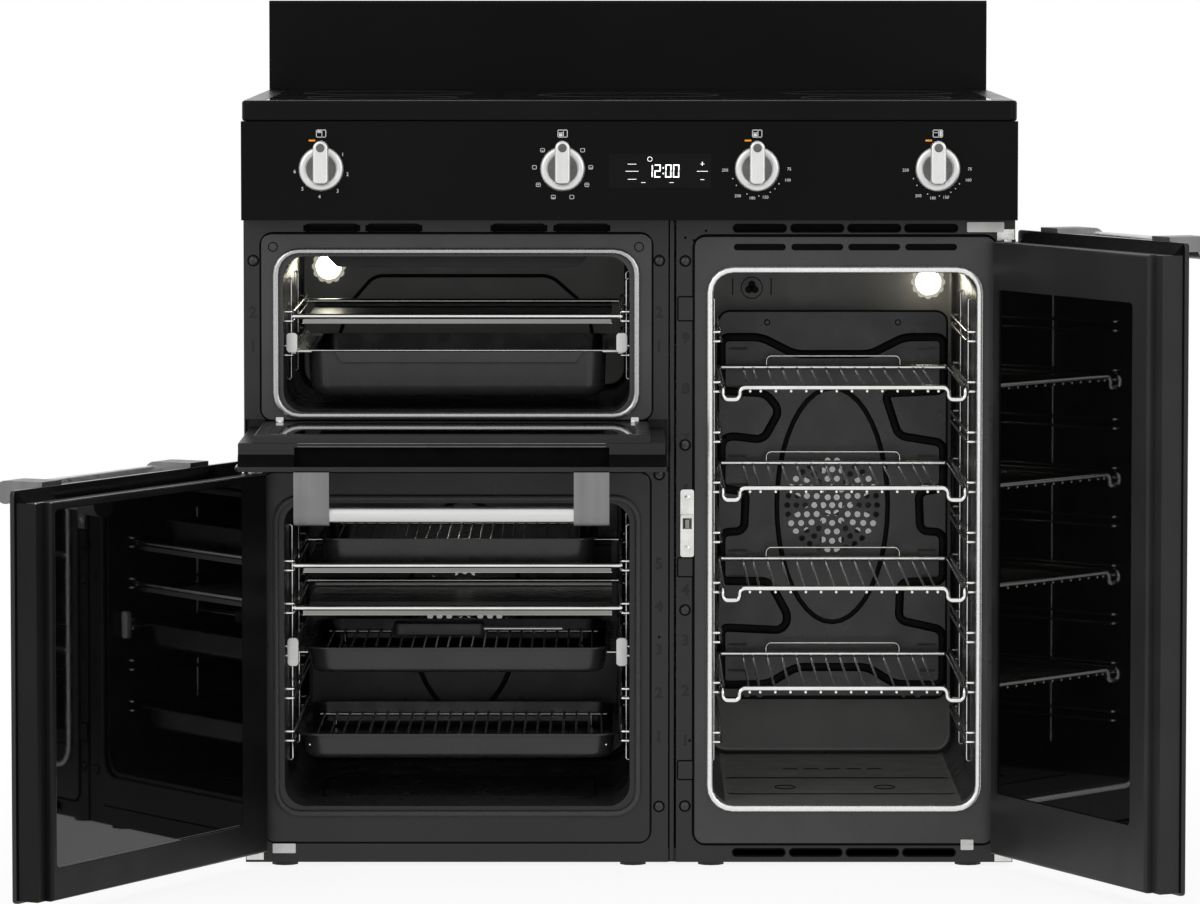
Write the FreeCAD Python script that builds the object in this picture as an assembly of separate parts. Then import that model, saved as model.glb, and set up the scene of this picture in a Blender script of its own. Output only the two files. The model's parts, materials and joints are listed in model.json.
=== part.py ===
import FreeCAD, Part
import math
import os

# Free-standing range cooker with a drop-down grill oven, a main oven and a tall oven.
# X runs to the right, Y from the front towards the wall, Z up. The origin lies on the floor,
# on the middle plane of the cooker, in line with its front row of feet.
# All three doors are drawn closed and then swung to the open pose in which the cooker stands.

V = FreeCAD.Vector

# ---- body ----
cooker_width = 895.0
hob_height = 894.0
carcass_depth = 572.0
foot_setback = 22.0
floor_gap = 4.7
sheet = 1.5
base_height = 16.0
panel_fold = 14.0
rear_slot_rows = 2
rear_slot_columns = (-300.0, -140.0, 140.0, 300.0)
rear_slot_length = 92.0
rear_slot_height = 7.0
rear_slot_bottom = 660.0
rear_slot_pitch = 30.0
terminal_width = 120.0
terminal_height = 80.0
terminal_depth = 26.0
terminal_bottom = 120.0
terminal_wall = 2.5
cable_entry_radius = 8.0
screw_radius = 5.5
screw_head = 2.2
left_screws = ((-436.2, 707.4), (34.8, 707.4), (34.8, 458.5), (34.8, 70.1))
divider_screw_x = 65.0
divider_screw_heights = (707.0, 493.0, 300.3, 70.5)
frame_sheet = 3.0
seat_gap = 0.3
corner_steps = 3
round_sides = 16

# ---- feet ----
foot_radius = 15.0
foot_rear_setback = 520.0
foot_columns = (-402.5, 4.5, 95.7, 396.3)

# ---- hob, facia and splashback ----
hob_trim_height = 24.0
hob_side_band = 27.0
hob_front_band = 22.0
hob_rear_band = 36.0
hob_ledge = 8.0
hob_bevel = 3.0
hob_glass_thickness = 6.0
hob_overhang = 49.0
facia_height = 114.3
facia_wall = 3.0
splashback_height = 110.0
splashback_width = 889.0
splashback_thickness = 14.0
coil_thickness = 12.0
# across from the middle, back from the front plane, radius
coil_places = ((-290.0, 110.0, 90.0), (-290.0, 370.0, 105.0), (0.0, 250.0, 110.0), (290.0, 110.0, 90.0),
               (290.0, 370.0, 105.0))

# ---- control knobs ----
knob_columns = (-355.0, -77.0, 147.0, 355.0)
knob_below_facia_top = 54.6
knob_radius = 26.0
knob_dish_radius = 17.7
knob_sides = 18
knob_base = 6.5
knob_dish_depth = 2.5
knob_grip_width = 17.6
knob_grip_depth = 18.0
knob_tip_reach = 24.6
knob_tail_reach = 16.5
knob_eye_radius = 4.9
spindle_radius = 3.0
spindle_clearance = 0.08
spindle_length = 21.0
switch_size = 34.0
switch_depth = 26.0

# ---- display ----
display_left = -24.0
display_width = 118.5
display_height = 39.8
display_below_facia_top = 56.7
display_thickness = 2.0
display_gap = 0.1

# ---- front frames and oven mouths ----
left_frame_right = 45.4
right_frame_left = 54.7
flange_sheet = 2.0
mouth_radius = 25.0
mouth_clearance = 1.5
cavity_wall = 1.5
cavity_depth = 480.0
baffle_depth = 428.0
recess_bottom = 466.0
recess_top = 523.0
recess_depth = 30.0

left_cavity_centre = -200.5
left_cavity_width = 402.0
grill_mouth_bottom = 530.9
grill_mouth_top = 712.2
main_mouth_bottom = 70.8
main_mouth_top = 425.3
tall_cavity_centre = 250.4
tall_cavity_width = 306.6
tall_mouth_bottom = 74.1
tall_mouth_top = 693.1

# margins round each mouth: at the sides, below and above
grill_flange_margins = (25.4, 8.6, 26.2)
main_flange_margins = (23.5, 42.2, 35.5)
tall_flange_margins = (21.0, 47.0, 42.0)
grill_seal_margins = (12.4, 8.0, 10.2)
main_seal_margins = (13.8, 12.7, 10.2)
tall_seal_margins = (7.1, 10.0, 8.1)
flange_radius = 12.0
seal_width = 8.0
seal_height = 5.5
seal_radius = 31.0

vent_slot_height = 7.3
vent_slot_length = 60.0
left_vent_columns = (-345.0, -273.0, -128.0, -55.0)
tall_vent_columns = (151.4, 218.0, 284.0, 350.0)
vent_row = 745.0
tall_vent_row_low = 16.0
tall_vent_above_mouth = 30.1

# ---- doors ----
door_gap = 8.0
door_thickness = 41.0
door_skin = 6.0
door_side_inset = 1.8
door_box_inset = 3.0
door_top_step = 13.5
door_top_slope = 13.0
door_corner_radius = 5.0
door_liner_height = 9.0
door_liner_inset = 20.0
door_glass = 4.0
tall_glass_recess = 3.0
glass_rebate = 9.0
pocket_width = 15.0
pocket_depth = 10.0
left_door_right = 43.3
tall_door_left = 56.0
grill_door_bottom = 482.0
grill_door_top = 744.0
main_door_bottom = 18.0
main_door_top = 475.5
tall_door_bottom = 16.0
tall_door_top = 744.0
main_open_angle = 117.7
tall_open_angle = 114.8
grill_open_angle = 90.0

# ---- hinges ----
side_hinge_inset = 8.5
hinge_pin_radius = 3.0
hinge_pin_length = 14.0
hinge_tongue_half = 7.5
hinge_tongue_sheet = 2.5
hinge_plate_width = 20.0
hinge_plate_height = 13.0
hinge_fit = 0.08
grill_axis_above_bottom = 34.7
grill_axis_ahead = 12.0
grill_arm_spacing = 409.0
grill_arm_sheet = 4.0
grill_arm_radius = 8.0
grill_pin_length = 20.0
hinge_notch = 22.0

# ---- door handles ----
handle_bar_radius = 9.0
handle_nose_radius = 13.0
handle_reach = 48.5
handle_below_top = 8.5
bracket_width = 40.0
left_handle_span = 356.0
tall_handle_span = 300.0

# ---- oven furniture ----
wire_thin = 3.0
wire_thick = 6.0
weld_gap = 0.05
ladder_wire = 4.0
ladder_reach = 10.0
ladder_front = 24.0
ladder_back = 396.0
ladder_overrun = 34.0
guide_spacing = 11.0
tall_levels = 9
tall_first_level = 142.8
tall_level_pitch = 58.7
main_level_count = 5
main_first_level = 144.5
main_level_pitch = 50.05
grill_first_level = 596.0
grill_level_pitch = 39.7
shelf_places = (8, 6, 4, 2)
shelf_reach = 12.0
shelf_front = 16.0
shelf_back = 404.0
shelf_wires = 12
shelf_wire_pitch = 17.7
shelf_edge_wire = 12.2
shelf_dip_width = 20.0
shelf_dip_depth = 14.0
shelf_guard_height = 13.5
shelf_guard_width = 163.0
tray_reach = 8.4
tray_sheet_reach = 20.5
tray_sheet = 1.2
tray_depth = 345.0
tray_drop = 15.0
tray_front = 30.0
pan_wall = 1.2
pan_rim = 7.0
pan_depth = 27.0
grill_pan_depth = 54.0
pan_draft = 8.0
pan_corner = 26.0
pan_length = 350.0
pan_front = 26.0
low_pan_reach = 8.4
middle_pan_reach = 21.0
grill_pan_reach = 26.0
small_pan_width = 329.0
small_pan_length = 300.0
small_pan_depth = 38.0
small_pan_front = 45.0
grid_wires = 12
grid_lift = 7.0
grid_inset = 21.0
grid_foot_inset = 36.0
grip_length = 106.0
grip_width = 34.0
grip_height = 15.0
grip_offset = 22.0
grip_arm = 92.0
runner_sheet = 1.2
runner_width = 5.0
runner_play = 0.3
runner_web = 4.0
runner_length = 360.0
runner_ledge = 5.5
runner_cap_width = 13.0
runner_cap_depth = 6.0
main_cap_bottom = 233.0
main_cap_height = 33.0
grill_cap_bottom = 599.5
grill_cap_height = 23.0

# ---- fans ----
fan_radius = 62.0
fan_hub_radius = 14.0
fan_depth = 24.0
fan_blades = 8
fan_blade_half = 11.0
fan_rake = 35.0
fan_back_gap = 8.0
fan_height_tall = 387.6
fan_height_main = 262.0
cover_hole_pitch = 17.0
cover_hole_radius = 6.0
fan_sides = 12
cover_rings_tall = 3
cover_rings_main = 1
grill_bead_margin = 35.0
grill_bead_inset = 51.0
grill_bead_slope = 50.0
grill_bead_wire = 5.0
bead_width = 68.0
bead_height = 139.0
bead_wall = 5.0
bead_rise = 2.5
bead_sides = 16
element_radius = 76.0
element_wire = 6.4
element_steps = 12
element_stand_off = 26.0
deflector_half = 140.0
deflector_sheet = 1.5
lamp_radius = 19.0
lamp_height = 9.0
grill_lamp_x = -366.0
tall_lamp_x = 367.0
lamp_below_mouth = 31.5
motor_radius = 34.0
motor_length = 62.0
motor_bore_depth = 32.0
shaft_radius = 4.0
shaft_length = 39.0
shaft_clearance = 0.08

# ---- catch of the tall door ----
catch_centre_z = 401.8
catch_centre_x = 67.4
catch_width = 16.0
catch_length = 79.0
catch_roller_radius = 5.0
catch_roller_length = 12.0
catch_play = 0.3
catch_plate_sheet = 2.0
catch_yoke = 5.0
catch_reach = 12.0

# ---- derived places ----
front_y = -foot_setback
half_width = cooker_width / 2
facia_top = hob_height - hob_trim_height
facia_bottom = facia_top - facia_height
knob_height = facia_top - knob_below_facia_top
display_centre_z = facia_top - display_below_facia_top
tall_vent_row_flange = tall_mouth_top + tall_vent_above_mouth
rear_y = front_y + carcass_depth
facia_front = front_y - hob_overhang
door_inner_y = front_y - door_gap
door_outer_y = door_inner_y - door_thickness
door_box_y = door_outer_y + door_skin
side_hinge_x = half_width - side_hinge_inset
pin_flat = hinge_pin_radius * math.cos(math.pi / round_sides)
side_hinge_y = door_inner_y - door_thickness / 2
grill_axis_z = grill_door_bottom + grill_axis_above_bottom
grill_axis_y = front_y - grill_axis_ahead
left_door_left = -half_width + door_side_inset
tall_door_right = half_width - door_side_inset
left_cavity = (left_cavity_centre - left_cavity_width / 2, left_cavity_centre + left_cavity_width / 2)
tall_cavity = (tall_cavity_centre - tall_cavity_width / 2, tall_cavity_centre + tall_cavity_width / 2)
tall_levels_z = [tall_first_level + tall_level_pitch * n for n in range(tall_levels)]
main_levels_z = [main_first_level + main_level_pitch * n for n in range(main_level_count)]
grill_levels_z = [grill_first_level, grill_first_level + grill_level_pitch]


def box(x0, x1, y0, y1, z0, z1):
    return Part.makeBox(x1 - x0, y1 - y0, z1 - z0, V(x0, y0, z0))


def rounded_loop(points, radius):
    """Closed flat wire through the points, each corner turned in a few short chords."""
    count = len(points)
    if radius <= 0:
        return Part.makePolygon(points + [points[0]])
    outline = []
    for i in range(count):
        here = points[i]
        back = points[i - 1] - here
        ahead = points[(i + 1) % count] - here
        back.normalize()
        ahead.normalize()
        half = back.getAngle(ahead) / 2
        middle = back + ahead
        middle.normalize()
        centre = here + middle * (radius / math.sin(half))
        start = here + back * (radius / math.tan(half)) - centre
        end = here + ahead * (radius / math.tan(half)) - centre
        turn = start.getAngle(end)
        for step in range(corner_steps + 1):
            share = turn * step / corner_steps
            spoke = start * math.sin(turn - share) + end * math.sin(share)
            outline.append(centre + spoke * (1 / math.sin(turn)))
    return Part.makePolygon(outline + [outline[0]])


def front_loop(x0, x1, z0, z1, y, radius):
    return rounded_loop([V(x0, y, z0), V(x1, y, z0), V(x1, y, z1), V(x0, y, z1)], radius)


def slab(x0, x1, z0, z1, y0, y1, radius=0.0):
    """Plate that faces the front, with rounded corners."""
    return Part.Face(front_loop(x0, x1, z0, z1, y0, radius)).extrude(V(0, y1 - y0, 0))


def plan_loop(x0, x1, y0, y1, z, radius):
    return rounded_loop([V(x0, y0, z), V(x1, y0, z), V(x1, y1, z), V(x0, y1, z)], radius)


def side_profile(points, x0, x1):
    """Solid with a (y, z) outline, run from x0 to x1."""
    outline = [V(x0, y, z) for y, z in points]
    return Part.Face(Part.makePolygon(outline + [outline[0]])).extrude(V(x1 - x0, 0, 0))


def prism(centre, axis, radius, length, sides):
    """Straight bar with a regular outline, radius measured to its flats."""
    turned = FreeCAD.Rotation(V(0, 0, 1), axis)
    reach = radius / math.cos(math.pi / sides)
    ring = []
    for i in range(sides):
        angle = 2 * math.pi * (i + 0.5) / sides
        flat = V(reach * math.cos(angle), reach * math.sin(angle), 0)
        ring.append(centre + turned.multVec(flat))
    way = V(axis)
    way.normalize()
    return Part.Face(Part.makePolygon(ring + [ring[0]])).extrude(way * length)


def closed_solid(faces):
    solid = Part.Solid(Part.makeShell(faces))
    if solid.Volume < 0:
        solid.reverse()
    return solid


def ring_face(corners):
    return Part.Face(Part.makePolygon(corners + [corners[0]]))


def rod(points, width, flat, sides=6, closed=False):
    """Bent wire with mitred bends: a regular section whose first flat faces the given way."""
    count = len(points)
    ways = []
    for i in range(count if closed else count - 1):
        way = points[(i + 1) % count] - points[i]
        way.normalize()
        ways.append(way)
    up = flat - ways[0] * flat.dot(ways[0])
    up.normalize()
    across = ways[0].cross(up)
    reach = width / 2 / math.cos(math.pi / sides)
    ring = []
    for i in range(sides):
        angle = 2 * math.pi * (i + 0.5) / sides
        ring.append(points[0] + up * (reach * math.cos(angle)) + across * (reach * math.sin(angle)))
    if closed:
        mitre = ways[-1] + ways[0]
        ring = [p - ways[0] * ((p - points[0]).dot(mitre) / ways[0].dot(mitre)) for p in ring]
    rings = [ring]
    for i in range(1, count):
        way = ways[i - 1]
        mitre = way + ways[i] if i < len(ways) else V(way)
        ring = [p + way * ((points[i] - p).dot(mitre) / way.dot(mitre)) for p in rings[-1]]
        rings.append(ring)
    if closed:
        rings.append(rings[0])
    faces = []
    for low, high in zip(rings, rings[1:]):
        for i in range(sides):
            j = (i + 1) % sides
            faces.append(ring_face([low[i], low[j], high[j], high[i]]))
    if not closed:
        faces += [ring_face(rings[0]), ring_face(rings[-1])]
    return closed_solid(faces)


def turned(profile, base, axis, sides):
    """Turned piece from a (radius, height) profile that starts and ends on its axis."""
    aim = FreeCAD.Rotation(V(0, 0, 1), axis)
    rings = []
    for radius, height in profile:
        ring = []
        for i in range(sides):
            angle = 2 * math.pi * (i + 0.5) / sides
            spot = V(radius * math.cos(angle), radius * math.sin(angle), height)
            ring.append(base + aim.multVec(spot))
        rings.append(ring)
    faces = [ring_face(rings[1]), ring_face(rings[-2])]
    for low, high in zip(rings[1:-2], rings[2:-1]):
        for i in range(sides):
            j = (i + 1) % sides
            faces.append(ring_face([low[i], low[j], high[j], high[i]]))
    return closed_solid(faces)


def export(name, solids):
    pieces = solids if isinstance(solids, list) else [solids]
    shape = Part.makeCompound(pieces) if len(pieces) > 1 else pieces[0]
    shape.exportStep("parts/" + name + ".step")
    print(name, len(shape.Solids), round(shape.Volume / 1000.0, 1), shape.isValid())


# ---- carcass ----
def make_feet():
    pads = []
    for x in foot_columns:
        for y in (0.0, foot_rear_setback):
            pads.append(prism(V(x, y, 0), V(0, 0, 1), foot_radius, floor_gap, 10))
    return pads


def make_chassis_base():
    low = floor_gap
    x = half_width - sheet
    y0 = front_y + frame_sheet
    y1 = rear_y - sheet
    tray = box(-x, x, y0, y1, low, low + base_height)
    return tray.cut(box(-x + sheet, x - sheet, y0 + sheet, y1 - sheet, low + sheet, low + base_height + 1))


def make_side_panel(side):
    outer = side * half_width
    inner = side * (half_width - sheet)
    lip = side * (half_width - panel_fold)
    y0 = front_y + frame_sheet
    y1 = rear_y - sheet
    outline = [V(outer, y0, floor_gap), V(inner, y0, floor_gap), V(inner, y1 - sheet, floor_gap)]
    outline += [V(lip, y1 - sheet, floor_gap), V(lip, y1, floor_gap), V(outer, y1, floor_gap)]
    panel = ring_face(outline).extrude(V(0, 0, facia_top - floor_gap))
    x0 = min(inner, lip) - 1
    x1 = max(inner, lip) + 1
    room = box(x0, x1, y1 - 2 * sheet, y1, floor_gap - 1, floor_gap + base_height + seat_gap)
    return panel.cut(room.common(box(min(inner, lip), max(inner, lip), y1 - 2 * sheet, y1 + 1, 0, facia_top)))


def make_rear_cover():
    y0 = rear_y - sheet
    cover = box(-half_width, half_width, y0, rear_y, floor_gap, facia_top)
    for row in range(rear_slot_rows):
        z = rear_slot_bottom + rear_slot_pitch * row
        for x in rear_slot_columns:
            half = rear_slot_length / 2
            cover = cover.cut(box(x - half, x + half, y0 - 1, rear_y + 1, z, z + rear_slot_height))
    return cover


def make_terminal_block():
    """Terminal housing on the rear cover, open towards it, with a cable entry below."""
    x = terminal_width / 2
    y1 = rear_y + terminal_depth
    z0 = terminal_bottom
    z1 = z0 + terminal_height
    wall = terminal_wall
    block = box(-x, x, rear_y, y1, z0, z1)
    block = block.cut(box(-x + wall, x - wall, rear_y - 1, y1 - wall, z0 + wall, z1 - wall))
    middle = V(0, (rear_y + y1) / 2, z0 - 1)
    return block.cut(prism(middle, V(0, 0, 1), cable_entry_radius, wall + 2, 12))


def make_frame_plate(x0, x1):
    return box(x0, x1, front_y, front_y + frame_sheet, floor_gap, facia_bottom)


def mouth_cut(cavity, bottom, top):
    margin = cavity_wall + mouth_clearance
    radius = mouth_radius + margin
    x0, x1 = cavity
    return slab(x0 - margin, x1 + margin, bottom - margin, top + margin, front_y - 1, front_y + 5.0, radius)


def slot_row(columns, length, z):
    """Row of vent slots through the front sheet."""
    cuts = []
    low = z - vent_slot_height / 2
    for x in columns:
        x0 = x - length / 2
        cuts.append(box(x0, x0 + length, front_y - 5.0, front_y + 5.0, low, low + vent_slot_height))
    return cuts


def make_left_frame():
    plate = make_frame_plate(-half_width, left_frame_right)
    plate = plate.cut(mouth_cut(left_cavity, grill_mouth_bottom, grill_mouth_top))
    plate = plate.cut(mouth_cut(left_cavity, main_mouth_bottom, main_mouth_top))
    x0 = -half_width + sheet
    x1 = left_frame_right - 1.0
    plate = plate.cut(box(x0, x1, front_y - 1, front_y + 5.0, recess_bottom, recess_top))
    deep = front_y + recess_depth
    trough = box(x0, x1, front_y, deep, recess_bottom - sheet, recess_top + sheet)
    trough = trough.cut(box(x0, x1, front_y - 1, deep - sheet, recess_bottom, recess_top))
    plate = plate.fuse(trough)
    for cut in slot_row(left_vent_columns, vent_slot_length + 6.0, vent_row):
        plate = plate.cut(cut)
    return plate.removeSplitter()


def make_right_frame():
    plate = make_frame_plate(right_frame_left, half_width)
    plate = plate.cut(mouth_cut(tall_cavity, tall_mouth_bottom, tall_mouth_top))
    for z in (vent_row, tall_vent_row_low):
        for cut in slot_row(tall_vent_columns, vent_slot_length, z):
            plate = plate.cut(cut)
    return plate.cut(roller_room(front_y - 1, front_y + 5.0))


def make_frame_screws():
    places = [(x, z) for x, z in left_screws]
    places += [(divider_screw_x, z) for z in divider_screw_heights]
    return [prism(V(x, front_y - screw_head, z), V(0, 1, 0), screw_radius, screw_head, 6) for x, z in places]


# ---- cavities ----
def make_cavity(cavity, bottom, top, margins, depth):
    """Pressed oven lining with a flange that lies on the front frame."""
    x0, x1 = cavity
    side, below, above = margins
    wall = cavity_wall
    front = front_y - flange_sheet
    back = front_y + depth
    shell = slab(x0 - side, x1 + side, bottom - below, top + above, front, front_y, flange_radius)
    radius = mouth_radius + wall
    shell = shell.fuse(slab(x0 - wall, x1 + wall, bottom - wall, top + wall, front, back + wall, radius))
    shell = shell.cut(slab(x0, x1, bottom, top, front - 1, back, mouth_radius))
    return shell.removeSplitter()


def make_seal(cavity, bottom, top, margins):
    x0, x1 = cavity
    side, below, above = margins
    y1 = front_y - flange_sheet
    y0 = y1 - seal_height
    wide = seal_width
    outer = slab(x0 - side, x1 + side, bottom - below, top + above, y0, y1, seal_radius)
    x2 = x0 - side + wide
    x3 = x1 + side - wide
    inner = slab(x2, x3, bottom - below + wide, top + above - wide, y0 - 1, y1 + 1, seal_radius - wide)
    return outer.cut(inner)


def shaft_bore(x, z):
    clear = shaft_radius / math.cos(math.pi / 12) + 2.0
    return prism(V(x, front_y + cavity_depth - 5, z), V(0, 1, 0), clear, 12.0, 12)


def make_grill_cavity():
    """Grill lining with a trapezoid bead pressed out of its rear wall."""
    shell = make_cavity(left_cavity, grill_mouth_bottom, grill_mouth_top, grill_flange_margins, baffle_depth)
    y = front_y + baffle_depth
    low = grill_mouth_bottom + grill_bead_margin
    high = grill_mouth_top - grill_bead_margin
    x = left_cavity_centre
    wide = left_cavity_width / 2 - grill_bead_inset
    narrow = wide - grill_bead_slope
    bend = high - grill_bead_slope
    route = [V(x - wide, y, low), V(x - wide, y, bend), V(x - narrow, y, high)]
    route += [V(x + narrow, y, high), V(x + wide, y, bend), V(x + wide, y, low)]
    return shell.fuse(rod(route, grill_bead_wire, V(0, 1, 0), 4)).removeSplitter()


def make_main_cavity():
    shell = make_cavity(left_cavity, main_mouth_bottom, main_mouth_top, main_flange_margins, cavity_depth)
    return shell.cut(shaft_bore(left_cavity_centre, fan_height_main))


def make_tall_cavity():
    shell = make_cavity(tall_cavity, tall_mouth_bottom, tall_mouth_top, tall_flange_margins, cavity_depth)
    for cut in slot_row(tall_vent_columns, vent_slot_length, tall_vent_row_flange):
        shell = shell.cut(cut)
    return shell.cut(shaft_bore(tall_cavity_centre, fan_height_tall))


def cover_holes(x, z, rings):
    """Rings of six-sided holes round the fan axis."""
    y0 = front_y + baffle_depth - 2.0
    holes = []
    for ring in range(rings + 1):
        count = max(1, 5 * ring)
        for i in range(count):
            angle = 2 * math.pi * i / count
            reach = ring * cover_hole_pitch
            place = V(x + reach * math.cos(angle), y0, z + reach * math.sin(angle))
            holes.append(prism(place, V(0, 1, 0), cover_hole_radius, 6.0, 6))
    return holes


def make_baffle(cavity, bottom, top, fan_z, rings):
    """Rear panel with an oval bead round the perforated fan cover."""
    x0, x1 = cavity
    middle = (x0 + x1) / 2
    y0 = front_y + baffle_depth
    gap = seat_gap
    panel = slab(x0 + gap, x1 - gap, bottom + gap, top - gap, y0, y0 + sheet, mouth_radius - gap)
    for hole in cover_holes(middle, fan_z, rings):
        panel = panel.cut(hole)
    tall = min(bead_height, fan_z - bottom - 20.0, top - fan_z - 20.0)
    outer = []
    inner = []
    for i in range(bead_sides):
        angle = 2 * math.pi * i / bead_sides
        cross = math.cos(angle)
        rise = math.sin(angle)
        outer.append(V(middle + bead_width * cross, y0 - bead_rise, fan_z + tall * rise))
        inner.append(V(middle + (bead_width - bead_wall) * cross, y0 - bead_rise, fan_z + (tall - bead_wall) * rise))
    bead = ring_face(outer).cut(ring_face(inner)).extrude(V(0, bead_rise, 0))
    return panel.fuse(bead).removeSplitter()


# ---- fans ----
def make_fan(x, z):
    """Radial impeller: back plate, hub and raked blades, on its shaft."""
    back = front_y + cavity_depth - fan_back_gap
    front = back - fan_depth
    hub = fan_hub_radius
    profile = [(0, 0), (hub, 0), (hub, fan_depth - sheet), (fan_radius, fan_depth - sheet)]
    profile += [(fan_radius, fan_depth), (shaft_radius, fan_depth), (shaft_radius, fan_depth + shaft_length)]
    profile += [(0, fan_depth + shaft_length)]
    fan = turned(profile, V(x, front, z), V(0, 1, 0), fan_sides)
    for i in range(fan_blades):
        blade = box(-fan_blade_half, fan_blade_half, front, back - sheet + 0.5, -0.8, 0.8)
        blade.rotate(V(0, 0, 0), V(0, 1, 0), fan_rake)
        blade.translate(V(fan_radius - fan_blade_half - 1.0, 0, 0))
        blade.rotate(V(0, 0, 0), V(0, 1, 0), 360.0 * i / fan_blades)
        blade.translate(V(x, 0, z))
        fan = fan.fuse(blade)
    return fan.removeSplitter()


def make_motor(x, z):
    y0 = front_y + cavity_depth + cavity_wall
    motor = prism(V(x, y0, z), V(0, 1, 0), motor_radius, motor_length, 12)
    bore = shaft_radius / math.cos(math.pi / fan_sides) + shaft_clearance
    return motor.cut(prism(V(x, y0 - 1, z), V(0, 1, 0), bore, motor_bore_depth + 1, fan_sides))


def make_ring_element(x, z):
    """Round element behind the fan cover, with two tails through the rear wall's face."""
    y = front_y + cavity_depth - element_stand_off
    route = []
    for i in range(element_steps + 1):
        angle = math.radians(100.0 + 340.0 * i / element_steps)
        route.append(V(x + element_radius * math.cos(angle), y, z + element_radius * math.sin(angle)))
    tail = front_y + cavity_depth - seat_gap
    route.insert(0, V(route[0].x, tail, route[0].z))
    route.append(V(route[-1].x, tail, route[-1].z))
    return rod(route, element_wire, V(0, 0, 1), 4)


# ---- oven furniture ----
def ladder_side(cavity, side, levels):
    """One side ladder: two uprights hooked to the wall, with a pair of guides at each level."""
    wall = cavity[1] if side > 0 else cavity[0]
    x_hook = wall - side * seat_gap
    x_up = wall - side * (ladder_reach - ladder_wire)
    x_in = wall - side * ladder_reach
    y0 = front_y + ladder_front
    y1 = front_y + ladder_back
    low = levels[0] - ladder_overrun
    high = levels[-1] + guide_spacing + ladder_overrun
    pieces = []
    for y in (y0, y1):
        route = [V(x_hook, y, low), V(x_up, y, low), V(x_up, y, high), V(x_hook, y, high)]
        pieces.append(rod(route, ladder_wire, V(0, 1, 0), 4))
    ends = (y0 - ladder_wire / 2, y1 + ladder_wire / 2)
    for level in levels:
        for z in (level, level + guide_spacing):
            pieces.append(rod([V(x_in, ends[0], z), V(x_in, ends[1], z)], ladder_wire, V(0, 0, 1), 4))
    return pieces


def make_ladders():
    pieces = []
    for cavity, levels in ((left_cavity, grill_levels_z), (left_cavity, main_levels_z), (tall_cavity, tall_levels_z)):
        pieces += ladder_side(cavity, -1, levels) + ladder_side(cavity, 1, levels)
    return pieces


def make_shelf(level_z):
    """Bent-wire shelf. Its frame dips in a U at both front corners and carries cross wires and a rear guard."""
    x = tall_cavity_centre
    half = tall_cavity_width / 2 - shelf_reach
    z = level_z + ladder_wire / 2 + wire_thick / 2 + seat_gap
    y0 = front_y + shelf_front
    y1 = front_y + shelf_back
    leg = half - shelf_dip_width
    low = z - shelf_dip_depth
    frame = [V(x - half, y1, z), V(x - half, y0, z), V(x - half, y0, low), V(x - leg, y0, low), V(x - leg, y0, z)]
    frame += [V(x + leg, y0, z), V(x + leg, y0, low), V(x + half, y0, low), V(x + half, y0, z), V(x + half, y1, z)]
    pieces = [rod(frame, wire_thick, V(0, 0, 1), 6, True)]
    z_wire = z - wire_thick / 2 / math.cos(math.pi / 6) - wire_thin / 2 - weld_gap
    inner = shelf_wire_pitch * (shelf_wires - 1) / 2
    columns = [-inner + shelf_wire_pitch * i for i in range(shelf_wires)]
    columns = [-inner - shelf_edge_wire] + columns + [inner + shelf_edge_wire]
    for column in columns:
        ends = [V(x + column, y0 - wire_thin / 2, z_wire), V(x + column, y1 + wire_thin / 2, z_wire)]
        pieces.append(rod(ends, wire_thin, V(0, 0, 1), 4))
    guard = shelf_guard_width / 2
    foot = z + wire_thick / 2 + weld_gap
    top = z + shelf_guard_height
    route = [V(x - guard, y1, foot), V(x - guard, y1, top), V(x + guard, y1, top), V(x + guard, y1, foot)]
    pieces.append(rod(route, wire_thin, V(1, 0, 0), 4))
    return pieces


def make_steel_tray(level_z):
    """Flat steel shelf hung between two bars that ride on the guides."""
    x = left_cavity_centre
    half = left_cavity_width / 2
    bar_half = half - tray_reach
    sheet_half = half - tray_sheet_reach
    z = level_z + ladder_wire / 2 + wire_thick / 2 + seat_gap
    y0 = front_y + tray_front
    y1 = y0 + tray_depth
    bars = []
    for y in (y0, y1):
        bars.append(rod([V(x - bar_half, y, z), V(x + bar_half, y, z)], wire_thick, V(0, 0, 1)))
    under = z - wire_thick / 2
    floor = z - tray_drop
    t = tray_sheet
    front = y0 - wire_thick / 2
    back = y1 + wire_thick / 2
    outline = [(front, under), (front, floor), (back, floor), (back, under), (back - t - 1.0, under)]
    outline += [(back - t - 1.0, under - t), (back - t, under - t), (back - t, floor + t), (front + t, floor + t)]
    outline += [(front + t, under - t), (front + t + 1.0, under - t), (front + t + 1.0, under)]
    return [side_profile(outline, x - sheet_half, x + sheet_half)] + bars


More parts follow.
